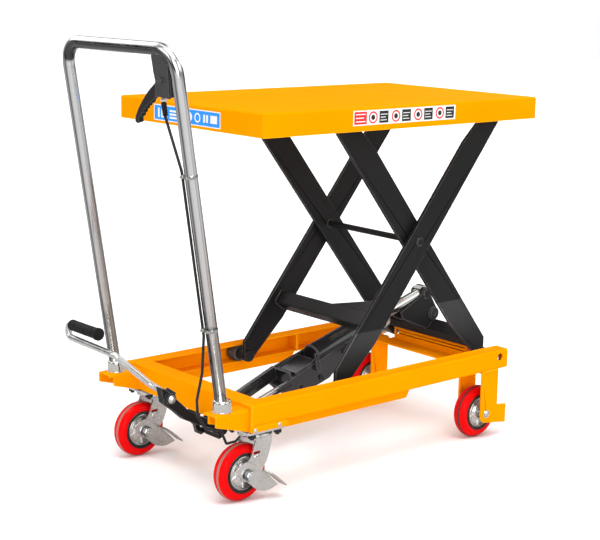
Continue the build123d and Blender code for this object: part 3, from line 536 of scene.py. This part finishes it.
def lathe(name, origin, axis, profile, skin, segments, smooth=35.0):
    """Solid of revolution; profile is a closed loop of (radius, along) in mm."""
    direction, across, other = basis(axis)
    bm = bmesh.new()
    rings = []
    for radius, along in profile:
        centre = origin + direction * (along / 1000.0)
        if radius < 1e-6:
            rings.append([bm.verts.new(centre)])
        else:
            rings.append(add_ring(bm, centre, across, other, radius / 1000.0, segments))
    for ring, after in zip(rings, rings[1:] + rings[:1]):
        if len(ring) == 1 and len(after) == 1:
            continue
        for k in range(segments):
            following = (k + 1) % segments
            if len(ring) == 1:
                bm.faces.new((ring[0], after[k], after[following]))
            elif len(after) == 1:
                bm.faces.new((ring[k], after[0], ring[following]))
            else:
                bm.faces.new((ring[k], after[k], after[following], ring[following]))
    return finish_mesh(name, bm, skin, smooth)


def torus(name, origin, axis, radius, tube, skin, segments=64, sides=10):
    angles = [2 * math.pi * k / sides for k in range(sides)]
    profile = [(radius + tube * math.cos(t), tube * math.sin(t)) for t in angles]
    lathe(name, origin, axis, profile, skin, segments=segments, smooth=60.0)


def plate(name, points, normal, thickness, skin, bevel):
    """Flat polygon of placed points, thickened along normal by thickness in mm."""
    offset = Vector(normal).normalized() * (thickness / 1000.0)
    bm = bmesh.new()
    near = [bm.verts.new(point) for point in points]
    far = [bm.verts.new(point + offset) for point in points]
    bm.faces.new(near)
    bm.faces.new(far[::-1])
    for i in range(len(points)):
        j = (i + 1) % len(points)
        bm.faces.new((near[i], near[j], far[j], far[i]))
    finish_mesh(name, bm, skin, bevel=bevel)


def bead(name, points, radius, skin, seed, closed=False):
    """Weld bead: a rope of ripples 2.2 mm apart along placed points; radius in mm."""
    ripple_pitch = 2.2
    rings_per_ripple = 3
    if closed:
        points = points + [points[0]]
    path = []
    for start, end in zip(points[:-1], points[1:]):
        steps = max(2, int((end - start).length * 1000 / ripple_pitch * rings_per_ripple))
        path += [start.lerp(end, i / steps) for i in range(steps)]
    if not closed:
        path.append(points[-1])
    last = len(path) - 1
    bm = bmesh.new()
    rings = []
    for i, centre in enumerate(path):
        after = path[(i + 1) % len(path)] if closed else path[min(i + 1, last)]
        before = path[i - 1] if closed or i > 0 else path[0]
        across, other = basis(after - before)[1:]
        uneven = math.sin(i * 2.1 + seed) * 0.06 + math.sin(i * 0.37 + 2 * seed) * 0.08
        ripple = 0.13 * math.cos(2 * math.pi * i / 3.0)
        size = radius / 1000.0 * (0.90 + ripple + uneven)
        if not closed and i in (0, last):
            size *= 0.55
        rings.append(add_ring(bm, centre, across, other, size, 8))
    loft(bm, rings, closed)
    finish_mesh(name, bm, skin, 60.0)


def hexagon(name, origin, axis, flats, height, skin, chamfer=0.8):
    """Chamfered hexagon head or nut, in mm; flats is its width across flats."""
    direction, across, other = basis(axis)
    corner = flats / math.sqrt(3)
    stations = ((corner * 0.90, 0), (corner, chamfer), (corner, height - chamfer),
                (corner * 0.88, height))
    bm = bmesh.new()
    loft(bm, [add_ring(bm, origin + direction * (along / 1000), across, other, radius / 1000, 6)
              for radius, along in stations])
    finish_mesh(name, bm, skin, 20.0)


# ------------------------------------------------------------------ wheels
# (radius, along) from the wheel's middle plane outward
HUB_RING = [(36.2, 14.0), (43.3, 14.0), (43.4, 17.6), (42.2, 18.9), (39.8, 19.3), (37.4, 18.6),
            (36.2, 17.0)]
HUB_DISC = [(36.4, 14.5), (36.4, 16.6), (35.2, 17.3), (33.6, 16.4), (31.5, 12.6), (28.0, 11.2),
            (22.5, 11.0), (20.0, 12.4), (18.6, 15.0), (16.0, 17.2), (12.0, 17.9), (9.0, 17.9),
            (9.0, 15.5), (18.0, 9.0), (30.0, 9.0), (34.0, 14.5)]
# hub rib stations: radius, half width at the foot, height of the crest
HUB_RIB = ((17.0, 4.6, 13.2), (21.0, 3.9, 13.6), (27.0, 3.0, 13.0), (32.5, 2.4, 13.8))
RIB_FOOT = 9.5

AXLE_BORE = 6.1
# pieces along the caster axle: name, y from the wheel's middle, dull, segments, profile
CASTER_AXLE_RINGS = (
    ("washer_out", -34.9, True, 40,
     [(AXLE_BORE, 0.0), (12.4, 0.0), (12.6, 0.6), (12.4, 1.6), (AXLE_BORE, 1.6)]),
    ("spacer", -33.2, False, 40,
     [(AXLE_BORE, 0.0), (9.0, 0.0), (9.2, 1.2), (9.0, 2.2), (AXLE_BORE, 2.2)]),
    ("lock_ring", -42.3, False, 36, [(4.6, 0.0), (7.2, 0.0), (7.6, 0.8), (7.4, 1.4), (4.6, 1.4)]),
    ("axle_tip", -43.6, False, 30, [(0.0, 0.0), (2.6, 0.0), (3.9, 0.9), (4.3, 2.2), (0.0, 2.2)]),
    ("washer_in", 26.6, False, 40,
     [(AXLE_BORE, 0.0), (12.2, 0.0), (12.4, 0.7), (12.2, 1.6), (AXLE_BORE, 1.6)]),
)
# radius and height above the floor
CASTER_RACE = [(28.0, 137.5), (34.6, 137.5), (36.6, 139.2), (36.9, 142.4), (35.4, 144.6),
               (33.0, 145.6), (32.2, 143.4), (28.0, 143.0)]
FORK_DIMPLE = [(0.0, -0.5), (8.0, -0.5), (7.2, 0.4), (5.0, 1.5), (2.5, 2.0), (0.0, 2.1)]
PLATE_WASHER = [(4.6, 0.0), (8.9, 0.0), (9.0, 0.4), (8.8, 0.9), (4.6, 0.9)]

FIXED_WASHER_Y, FIXED_WASHER_THICKNESS = 226.1, 1.3
FIXED_WASHER = [(AXLE_BORE, 0.0), (9.6, 0.0), (9.8, 0.6), (9.4, FIXED_WASHER_THICKNESS),
                (AXLE_BORE, FIXED_WASHER_THICKNESS)]
FIXED_HEAD = [(0.0, 0.0), (7.6, 0.0), (7.4, 1.4), (6.0, 2.9), (3.6, 3.8), (0.0, 4.2)]
FIXED_SPACER = [(AXLE_BORE, -6.0), (9.5, -6.0), (9.7, 0.0), (9.5, 6.0), (AXLE_BORE, 6.0)]


def hub_face(tag, x, y, outward, body):
    """Black ring, pressed disc, embossed ring and five ribs on the face at outward * Y."""
    centre = place(x, y, WHEEL_Z)
    axis = Vector((0, outward, 0))
    pressed = Skin(HUB, body, "rim_metal")
    lathe(f"{tag}_ring", centre, axis, HUB_RING, Skin(RING_RUBBER, body, "rim_metal"),
          segments=72)
    lathe(f"{tag}_disc", centre, axis, HUB_DISC, pressed, segments=72, smooth=40)
    torus(f"{tag}_boss_ring", centre + axis * 0.0113, axis, 25.5, 1.1, pressed, sides=8)
    for k in range(5):
        angle = math.radians(72 * k + 54)
        radial = Vector((math.cos(angle), 0, math.sin(angle)))
        across = Vector((-math.sin(angle), 0, math.cos(angle)))
        bm = bmesh.new()
        rows = []
        for radius, half_width, crest in HUB_RIB:
            spine = centre + radial * (radius / 1000)
            corners = ((half_width, RIB_FOOT), (half_width * 0.45, crest),
                       (-half_width * 0.45, crest), (-half_width, RIB_FOOT))
            rows.append([bm.verts.new(spine + across * (aside / 1000) + axis * (out / 1000))
                         for aside, out in corners])
        loft(bm, rows)
        finish_mesh(f"{tag}_rib_{k}", bm, pressed, 50.0)


def caster_dress(side, sign):
    middle_y = sign * CASTER_Y
    zinc = Skin(ZINC, f"caster_swivel_{side}", "zinc_plate")
    for name, offset, dull, segments, profile in CASTER_AXLE_RINGS:
        skin = zinc._replace(material=DULL_ZINC) if dull else zinc
        lathe(f"caster_{name}_{side}", place(CASTER_X, middle_y + offset, WHEEL_Z), (0, 1, 0),
              profile, skin, segments=segments)
    # ball race shroud between the fork crown and the plate, with its rolled lip
    lathe(f"caster_race_{side}", place(SWIVEL_X, middle_y, 0), (0, 0, 1), CASTER_RACE, zinc,
          segments=72, smooth=45)
    # a low dome on each fork leg
    for tag, outward in (("a", -1), ("b", 1)):
        lathe(f"fork_dimple_{side}_{tag}", place(-379, middle_y + outward * 26.5, 94),
              (0, outward, 0), FORK_DIMPLE, zinc, segments=32, smooth=60)
    for bolt_x in (-34, 34):
        for bolt_y in (-33, 33):
            lathe(f"plate_washer_{side}_{bolt_x + 40}_{bolt_y + 40}",
                  place(SWIVEL_X + bolt_x, middle_y + bolt_y, 150.2), (0, 0, 1),
                  PLATE_WASHER, DULL_BASE, segments=28)


def fixed_axle_dress(side, sign):
    """Domed outer head, washer and spacers."""
    lathe(f"fixed_washer_{side}", place(FIXED_X, sign * FIXED_WASHER_Y, WHEEL_Z),
          (0, sign, 0), FIXED_WASHER, ZINC_BASE, segments=36)
    head_y = FIXED_WASHER_Y + FIXED_WASHER_THICKNESS
    lathe(f"fixed_head_{side}", place(FIXED_X, sign * head_y, WHEEL_Z), (0, sign, 0),
          FIXED_HEAD, ZINC_BASE, segments=36, smooth=50)
    half_hub = 19.0
    for k, spacer_y in enumerate((sign * (FIXED_Y - half_hub) - 4.5,
                                  sign * (FIXED_Y + half_hub) + 4.5)):
        lathe(f"fixed_spacer_{side}_{k}", place(FIXED_X, spacer_y, WHEEL_Z), (0, 1, 0),
              FIXED_SPACER, ZINC_BASE, segments=36)


for side, sign in SIDES:
    for tag, outward in (("a", 1), ("b", -1)):
        hub_face(f"caster_hub_{side}_{tag}", CASTER_X, sign * CASTER_Y, outward,
                 f"caster_wheel_{side}")
        hub_face(f"fixed_hub_{side}_{tag}", FIXED_X, sign * FIXED_Y, outward,
                 f"fixed_wheel_{side}")
    caster_dress(side, sign)
    fixed_axle_dress(side, sign)

# ------------------------------------------------------------------ handle
HANDLE_UP = Vector((-math.sin(HANDLE_LEAN), 0, math.cos(HANDLE_LEAN)))
SOCKET_TOP_Z = 204.2
HANDLE_COLLAR = [(12.9, 0.0), (18.9, 0.0), (19.2, 1.2), (19.2, 19.5), (18.6, 22.5),
                 (16.9, 24.4), (15.0, 24.8), (13.3, 24.4)]
SEAM_RADIUS, SEAM_TUBE = 12.62, 0.28


def handle_x(z):
    """Centre line of the leaning legs."""
    return HANDLE_FOOT_X - (z - HANDLE_FOOT_Z) * math.tan(HANDLE_LEAN)


def handle_leg_dress(side, sign):
    leg_y = sign * HANDLE_Y
    lathe(f"handle_collar_{side}", place(-458.3, leg_y, SOCKET_TOP_Z), (0, 0, 1),
          HANDLE_COLLAR, COLLAR_BASE, segments=72, smooth=45)
    torus(f"collar_flange_{side}", place(HANDLE_FOOT_X, leg_y, 205.0), (0, 0, 1), 19.6, 1.0,
          COLLAR_BASE, segments=72)
    torus(f"bend_seam_{side}", place(handle_x(880.5), leg_y, 880.5), HANDLE_UP,
          SEAM_RADIUS, SEAM_TUBE, SEAM, segments=60, sides=8)
    torus(f"bar_seam_{side}", place(handle_x(932.5), sign * 141, 932.5), (0, 1, 0),
          SEAM_RADIUS, SEAM_TUBE, SEAM, segments=60, sides=8)


for side, sign in SIDES:
    handle_leg_dress(side, sign)

# the release cable leaves the lever bracket between these two points
CABLE_TOP = (handle_x(836) - 2, -137, 836)
CABLE_LOW = (handle_x(800) - 3, -138, 800)
CABLE_AXIS = (0.16, 0, -1)
CABLE_BORE = 2.95
CABLE_BOOT = [(CABLE_BORE, 0.0), (4.9, 0.0), (5.3, 1.0), (5.2, 8.0), (4.9, 16.0), (4.3, 24.0),
              (3.7, 27.0), (CABLE_BORE, 27.0)]
CLIP_BAND = [(12.78, -3.4), (13.35, -3.6), (13.6, -3.2), (13.6, 3.2), (13.35, 3.6),
             (12.78, 3.4)]
CLIP_LOOP = [(CABLE_BORE, -3.4), (3.9, -3.6), (4.3, -3.0), (4.3, 3.0), (3.9, 3.6),
             (CABLE_BORE, 3.4)]


def cable_adjuster():
    """Threaded barrel with a nut under the lever bracket."""
    top = place(CABLE_TOP[0], CABLE_TOP[1], 843)
    for k in range(5):
        torus(f"adjuster_thread_{k}", top + Vector((0.0, 0, -0.0022 * k)), CABLE_AXIS,
              3.7, 0.55, ZINC_BASE, segments=24, sides=8)
    hexagon("adjuster_nut", top + Vector((0.0005, 0, -0.006)), CABLE_AXIS, 11.0, 5.5, ZINC_BASE)
    lathe("adjuster_barrel", top + Vector((0, 0, 0.004)), CABLE_AXIS,
          [(0.0, 0.0), (3.6, 0.0), (3.6, 17.0), (3.1, 18.0), (0.0, 18.0)], ZINC_BASE,
          segments=28)


def cable_boot():
    """Ribbed rubber boot; it stands in for the CAD node of the clips and boot."""
    for k in range(6):
        z = 826 - k * 4.0
        along = (CABLE_TOP[2] - z) / (CABLE_TOP[2] - CABLE_LOW[2])
        fold = [top * (1 - along) + low * along for top, low in zip(CABLE_TOP, CABLE_LOW)]
        torus(f"boot_fold_{k}", place(*fold), CABLE_AXIS, 5.0, 0.9, BOOT, segments=28, sides=8)
    direction = [low - top for top, low in zip(CABLE_TOP, CABLE_LOW)]
    return lathe("cable_boot", place(handle_x(830) - 2.2, -137.2, 830), direction, CABLE_BOOT,
                 BOOT, segments=32, smooth=45)


def cable_clip(k, z):
    """Band round the right leg, a loop round the cable and its screw."""
    lathe(f"clip_band_{k}", place(handle_x(z), -HANDLE_Y, z), HANDLE_UP, CLIP_BAND, STEEL_BASE,
          segments=60, smooth=40)
    cable = place(handle_x(z) - 13.0, -HANDLE_Y + 11.0, z)
    lathe(f"clip_loop_{k}", cable, HANDLE_UP, CLIP_LOOP, STEEL_BASE, segments=30, smooth=40)
    hexagon(f"clip_screw_{k}", cable + Vector((-0.0040, 0.0014, 0.0)), (-0.8, 0.5, 0.1),
            5.5, 2.2, ZINC_BASE, chamfer=0.4)


cable_adjuster()
boot = cable_boot()
for k, clip_z in enumerate((690, 378)):
    cable_clip(k, clip_z)
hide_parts("cable_clips_and_boot")

# ------------------------------------------------------------------ labels, without lettering
# how far each printed layer stands off the deck skirt
BACKING, FIELD, MARK = 0.30, 0.45, 0.60


def end_skirt(y, z, lift):
    """Point on the -X skirt of the deck."""
    return place(-406.0 - lift, y, z)


def side_skirt(x, z, lift):
    """Point on the -Y skirt of the deck."""
    return place(x, -250.0 - lift, z)


OUTWARD = {end_skirt: Vector((-1, 0, 0)), side_skirt: Vector((0, -1, 0))}


def label_box(name, skirt, start, end, bottom, top, lift, material):
    corners = ((start, bottom), (end, bottom), (end, top), (start, top))
    plate(name, [skirt(along, z, lift) for along, z in corners], -OUTWARD[skirt], 0.25,
          Skin(material, "deck", "yellow_paint"), bevel=0.00008)


def label_disc(name, skirt, along, z, inner, outer, lift, material):
    lathe(name, skirt(along, z, lift), OUTWARD[skirt],
          [(inner, -0.2), (outer, -0.2), (outer, 0.1), (inner, 0.1)],
          Skin(material, "deck", "yellow_paint"), segments=40)


def end_label():
    """Blue label with white marks on the -X skirt."""
    label_box("label_front_border", end_skirt, -113, 119, 767, 801, BACKING, PRINT_WHITE)
    label_box("label_front_field", end_skirt, -110.5, 116.5, 769.2, 798.8, FIELD, PRINT_BLUE)
    # start y, end y, bottom, top
    marks = ((98, 104, 774, 794), (84, 92, 774, 794), (70, 78, 774, 794),
             (20, 62, 788, 792), (28, 62, 781, 785), (12, 62, 774, 778))
    for k, box in enumerate(marks):
        label_box(f"label_front_mark_{k}", end_skirt, *box, MARK, PRINT_WHITE)
    label_disc("label_front_dot", end_skirt, -8, 784, 0.0, 9.5, MARK, PRINT_WHITE)
    label_disc("label_front_ring", end_skirt, -36, 784, 7.0, 10.0, MARK, PRINT_WHITE)
    for k, (start, end) in enumerate(((-62, -56), (-72, -66), (-102, -80))):
        label_box(f"label_front_bar_{k}", end_skirt, start, end, 776, 792, MARK, PRINT_WHITE)


def side_label():
    """White strip on the -Y skirt: a red block, then four pairs of a ring and a black block."""
    label_box("label_side_strip", side_skirt, -169, 134, 773, 804, BACKING, PRINT_WHITE)
    label_box("label_side_red", side_skirt, -166, -131, 775.5, 801.5, FIELD, PRINT_RED)
    for k in range(3):
        bottom = 780 + 7.5 * k
        label_box(f"label_side_line_{k}", side_skirt, -162, -135 - 4 * (k % 2), bottom,
                  bottom + 2, MARK, PRINT_WHITE)
    for k in range(4):
        x = -113 + 66 * k
        label_disc(f"label_side_ring_{k}", side_skirt, x, 788.5, 9.4, 12.6, FIELD, PRINT_RED)
        label_disc(f"label_side_spot_{k}", side_skirt, x, 788.5, 0.0, 5.4, FIELD, PRINT_BLACK)
        label_box(f"label_side_block_{k}", side_skirt, x + 18, x + 44, 776, 801, FIELD,
                  PRINT_BLACK)
        for tag, end, bottom in (("", 41, 793), ("2", 36, 787), ("3", 39, 781)):
            label_box(f"label_side_blockbar{tag}_{k}", side_skirt, x + 21, x + end, bottom,
                      bottom + 1.6, MARK, PRINT_WHITE)


end_label()
side_label()

# ------------------------------------------------------------------ base frame welds, rivets
# y and z of the bead round a handle socket
SOCKET_WELD = ((213.5, 160), (215.2, 198), (209, SOCKET_TOP_Z), (177, SOCKET_TOP_Z),
               (170.8, 198), (172, 160))
RIVET = [(0.0, 0.0), (4.6, 0.0), (4.3, 1.2), (3.0, 2.2), (1.4, 2.6), (0.0, 2.7)]

for side, sign in SIDES:
    bead(f"weld_socket_{side}", [place(-408.4, sign * y, z) for y, z in SOCKET_WELD],
         1.7, YELLOW_BASE, seed=sign)
    bead(f"weld_wheel_bracket_{side}", [place(x, sign * 225.6, 167) for x in (289, 343)],
         2.0, YELLOW_BASE, seed=2 + sign)
    bead(f"weld_caster_plate_{side}", [place(x, sign * 224.2, 167.4) for x in (-402, -314)],
         1.9, YELLOW_BASE, seed=4 + sign)
    for k, (x, z) in enumerate(((-399, 161.5), (-335, 163.0))):
        lathe(f"plate_rivet_{side}_{k}", place(x, sign * 228.9, z - 1.2), (0, sign, 0),
              RIVET, ZINC_BASE, segments=28, smooth=50)
    bead(f"weld_front_corner_{side}", [place(-404.4, sign * 221.4, z) for z in (172, 207)],
         1.7, YELLOW_BASE, seed=6 + sign)


# ------------------------------------------------------------------ scissor arms
def on_outer_arm(along, above, y):
    """Point along the outer arms, rising toward +X."""
    return place(OUTER_FOOT_X + along * math.cos(ARM_SLOPE) - above * math.sin(ARM_SLOPE), y,
                 ARM_FOOT_Z + along * math.sin(ARM_SLOPE) + above * math.cos(ARM_SLOPE))


def on_inner_arm(along, above, y):
    """Point along the inner arms, rising toward -X."""
    return place(INNER_FOOT_X - along * math.cos(ARM_SLOPE) + above * math.sin(ARM_SLOPE), y,
                 ARM_FOOT_Z + along * math.sin(ARM_SLOPE) + above * math.cos(ARM_SLOPE))


def box_weld(name, on_arm, centre, half_along, half_above, y, skin, seed):
    """Closed bead round a box section with 3 mm cut corners."""
    flat_along, flat_above = half_along - 3, half_above - 3
    outline = ((-half_along, -flat_above), (-flat_along, -half_above),
               (flat_along, -half_above), (half_along, -flat_above),
               (half_along, flat_above), (flat_along, half_above),
               (-flat_along, half_above), (-half_along, flat_above))
    bead(name, [on_arm(centre[0] + along, centre[1] + above, y) for along, above in outline],
         2.0, skin, seed, closed=True)


PIN_CAP = [(0.0, 0.0), (9.6, 0.0), (9.8, 0.8), (9.0, 1.6), (7.4, 2.2), (7.2, 3.0), (5.8, 4.2),
           (3.0, 4.8), (0.0, 4.9)]

plate("tube_gusset",
      [on_outer_arm(177, 5, -14), on_outer_arm(208, 5, -126), on_outer_arm(210, 5, -137),
       on_outer_arm(177, 5, -137)],
      (-math.sin(ARM_SLOPE), 0, math.cos(ARM_SLOPE)), 5.0, OUTER_ARMS, bevel=0.0008)
for side, sign in SIDES:
    box_weld(f"weld_outer_tube_{side}", on_outer_arm, (160, -4), 17, 19, sign * 155.4,
             OUTER_ARMS, seed=sign)
    box_weld(f"weld_inner_box_{side}", on_inner_arm, (49, 1), 15, 18, sign * 139.4,
             INNER_ARMS, seed=3 + sign)
    # cap where the arms cross, at their middle
    lathe(f"pin_cap_centre_{side}",
          place(OUTER_FOOT_X + ARM_RUN / 2, sign * 165.2, ARM_FOOT_Z + ARM_RISE / 2),
          (0, sign, 0), PIN_CAP, OUTER_ARMS, segments=40, smooth=50)

# ------------------------------------------------------------------ hydraulic unit
PUMP_ALONG = Vector((math.cos(PUMP_SLOPE), 0, math.sin(PUMP_SLOPE)))
PUMP_ABOVE = Vector((-math.sin(PUMP_SLOPE), 0, math.cos(PUMP_SLOPE)))
BARREL_BAND = [(27.0, -2.0), (28.3, -1.6), (28.5, 0.0), (28.3, 1.6), (27.0, 2.0)]
GLAND_NOTCH = [(0.0, -0.4), (2.6, -0.4), (2.6, 0.15), (0.0, 0.15)]
ROD_PIN_HEAD = [(0.0, 0.0), (11.8, 0.0), (12.0, 0.7), (11.0, 1.9), (0.0, 2.3)]
LUG_BOSS = [(0.0, 0.0), (12.5, 0.0), (12.7, 0.8), (11.4, 1.8), (5.0, 2.0), (4.4, 0.9),
            (0.0, 0.8)]
# along and above the cylinder's axis
SIDE_BOLTS = ((260, -40), (318, -40), (400, -12), (455, -8))


def on_pump(along, above, y):
    """Point along the cylinder's axis, from its foot to the rod pin."""
    return place(PUMP_FOOT_X + along * math.cos(PUMP_SLOPE) - above * math.sin(PUMP_SLOPE), y,
                 PUMP_FOOT_Z + along * math.sin(PUMP_SLOPE) + above * math.cos(PUMP_SLOPE))


def cylinder_dress():
    torus("barrel_weld_low", on_pump(333, 0, 0), PUMP_ALONG, 27.6, 1.5, BARREL)
    for k, along in enumerate((540.0, 545.5)):
        lathe(f"barrel_band_{k}", on_pump(along, 0, 0), PUMP_ALONG, BARREL_BAND, BARREL,
              segments=64)
    for k in range(4):
        angle = math.radians(45 + 90 * k)
        radial = Vector((0, 1, 0)) * math.cos(angle) + PUMP_ABOVE * math.sin(angle)
        lathe(f"gland_notch_{k}", on_pump(560, 0, 0) + radial * 0.021, PUMP_ALONG, GLAND_NOTCH,
              Skin(DULL_ZINC, "pump_unit", "zinc_plate"), segments=24)
    torus("rod_wiper", on_pump(560.3, 0, 0), PUMP_ALONG, 15.2, 1.2,
          Skin(RING_RUBBER, "pump_unit", "zinc_plate"), segments=48, sides=8)


def pump_bolts():
    for tag, y in (("a", 16), ("b", -16)):
        hexagon(f"block_plug_{tag}", on_pump(268, -2.2, y), PUMP_ABOVE, 13.0, 5.0, PUMP_CASTING)
    for k, (along, above) in enumerate(SIDE_BOLTS):
        for tag, sign in (("", -1), ("far_", 1)):
            hexagon(f"side_bolt_{tag}{k}", on_pump(along, above, sign * 33.0), (0, sign, 0),
                    11.0, 4.6, PUMP_CASTING)


cylinder_dress()
pump_bolts()
for tag, sign in (("a", -1), ("b", 1)):
    lathe(f"rod_pin_head_{tag}", place(ROD_PIN_X, sign * 22.0, ROD_PIN_Z), (0, sign, 0),
          ROD_PIN_HEAD, INNER_ARMS, segments=40)
    lathe(f"lug_boss_{tag}", place(329, sign * 22.4, 266), (0, sign, 0), LUG_BOSS, INNER_ARMS,
          segments=40)


# ------------------------------------------------------------------ floor
def floor_material():
    """Near-white floor that reflections see as a darker grey."""
    material, graph = new_material("studio_floor")
    where = graph.coordinates()
    graph.feed("Base Color", graph.mix(graph.noise(where, scale=3.0), 0.86, 0.90))
    graph.feed("Roughness", 0.95)
    graph.feed("Specular IOR Level", 0.0)
    rays = graph.add("ShaderNodeLightPath")
    mirrored = graph.add("ShaderNodeBsdfDiffuse")
    mirrored.inputs["Color"].default_value = rgba(0.42)
    chooser = graph.add("ShaderNodeMixShader")
    graph.wire(chooser.inputs[0], rays.outputs["Is Glossy Ray"])
    graph.wire(chooser.inputs[1], graph.bsdf.outputs[0])
    graph.wire(chooser.inputs[2], mirrored.outputs[0])
    graph.wire(graph.surface, chooser.outputs[0])
    return material


def make_floor():
    bm = bmesh.new()
    bmesh.ops.create_grid(bm, x_segments=2, y_segments=2, size=14.0)
    mesh = bpy.data.meshes.new("floor")
    bm.to_mesh(mesh)
    bm.free()
    floor = bpy.data.objects.new("floor", mesh)
    scene.collection.objects.link(floor)
    mesh.materials.append(floor_material())


# ------------------------------------------------------------------ world and lights
def background(graph, colour, strength):
    node = graph.add("ShaderNodeBackground")
    graph.wire(node.inputs["Color"], rgba(colour))
    node.inputs["Strength"].default_value = strength
    return node.outputs[0]


def choose(graph, switch, off, on):
    node = graph.add("ShaderNodeMixShader")
    for socket, value in zip(node.inputs, (switch, off, on)):
        graph.wire(socket, value)
    return node.outputs[0]


def make_world():
    """White to the camera, even light on surfaces, softboxes in reflections."""
    world = bpy.data.worlds.new("studio")
    scene.world = world
    world.use_nodes = True
    graph = Graph(world.node_tree)
    output = graph.add("ShaderNodeOutputWorld")
    rays = graph.add("ShaderNodeLightPath").outputs
    direction = graph.split(graph.add("ShaderNodeTexCoord").outputs["Generated"])
    # brightness from straight down (0) to straight up (1)
    height = graph.calc("MULTIPLY_ADD", direction["Z"], 0.5, 0.5)
    bands = graph.ramp(height, (0.0, 0.5), (0.48, 0.42), (0.52, 0.12), (0.60, 0.16),
                       (0.66, 1.0), (0.80, 1.0), (0.86, 0.30), (1.0, 0.9))
    # five softboxes around the horizon
    bearing = graph.calc("ARCTAN2", direction["Y"], direction["X"])
    wave = graph.calc("SINE", graph.calc("MULTIPLY", bearing, 5.0))
    wave = graph.calc("ADD", graph.calc("MULTIPLY", wave, 0.5), 0.5)
    strips = graph.ramp(wave, (0.10, 0.10), (0.26, 0.75), (0.55, 1.0), (1.0, 1.0))
    seen = background(graph, 1.0, strength=1.0)
    ambient = background(graph, 1.0, strength=1.02)
    mirrored = background(graph, graph.multiply(bands, strips), strength=1.75)
    lighting = choose(graph, rays["Is Glossy Ray"], ambient, mirrored)
    graph.wire(output.inputs["Surface"], choose(graph, rays["Is Camera Ray"], lighting, seen))


def add_light(light, toward_light, location=(0, 0, 0)):
    obj = bpy.data.objects.new(light.name, light)
    obj.location = location
    obj.rotation_mode = "QUATERNION"
    obj.rotation_quaternion = Vector(toward_light).to_track_quat("Z", "Y")
    scene.collection.objects.link(obj)
    return obj


def sun(name, toward_light, strength, spread):
    light = bpy.data.lights.new(name, "SUN")
    light.energy = strength
    light.angle = math.radians(spread)
    add_light(light, toward_light)


def bounce_card():
    """Soft area light under the deck, opening up the inside of the frame."""
    light = bpy.data.lights.new("bounce", "AREA")
    light.shape = "RECTANGLE"
    light.size = 0.62
    light.size_y = 0.16
    light.energy = 0.9
    obj = add_light(light, (0.0, -0.85, 0.45), place(60, -150, 330))
    obj.visible_camera = False
    obj.visible_glossy = False


# ------------------------------------------------------------------ camera
def make_camera():
    # radians: yaw from +Y toward +X, pitch above the horizon, roll about the view
    yaw, pitch, roll = 0.7124, -0.2015, 0.0184
    data = bpy.data.cameras.new("camera")
    camera = bpy.data.objects.new("camera", data)
    scene.collection.objects.link(camera)
    forward = Vector((math.sin(yaw) * math.cos(pitch), math.cos(yaw) * math.cos(pitch),
                      math.sin(pitch)))
    level = Vector((math.cos(yaw), -math.sin(yaw), 0))
    upright = level.cross(forward)
    right = level * math.cos(roll) + upright * math.sin(roll)
    up = upright * math.cos(roll) - level * math.sin(roll)
    turn = Matrix((right, up, -forward)).transposed()
    camera.matrix_world = (Matrix.Translation(place(-2183.9, -2424.8, 1075.5))
                           @ turn.to_4x4())
    data.sensor_width = 36.0
    data.lens = 86.733
    data.clip_end = 60.0
    scene.camera = camera


make_floor()
make_world()
sun("key", (-0.15, -0.25, 0.95), strength=2.25, spread=38.0)
sun("fill", (-0.45, -0.80, 0.20), strength=0.60, spread=30.0)
bounce_card()
make_camera()
scene.view_settings.view_transform = "Standard"
scene.view_settings.look = "None"
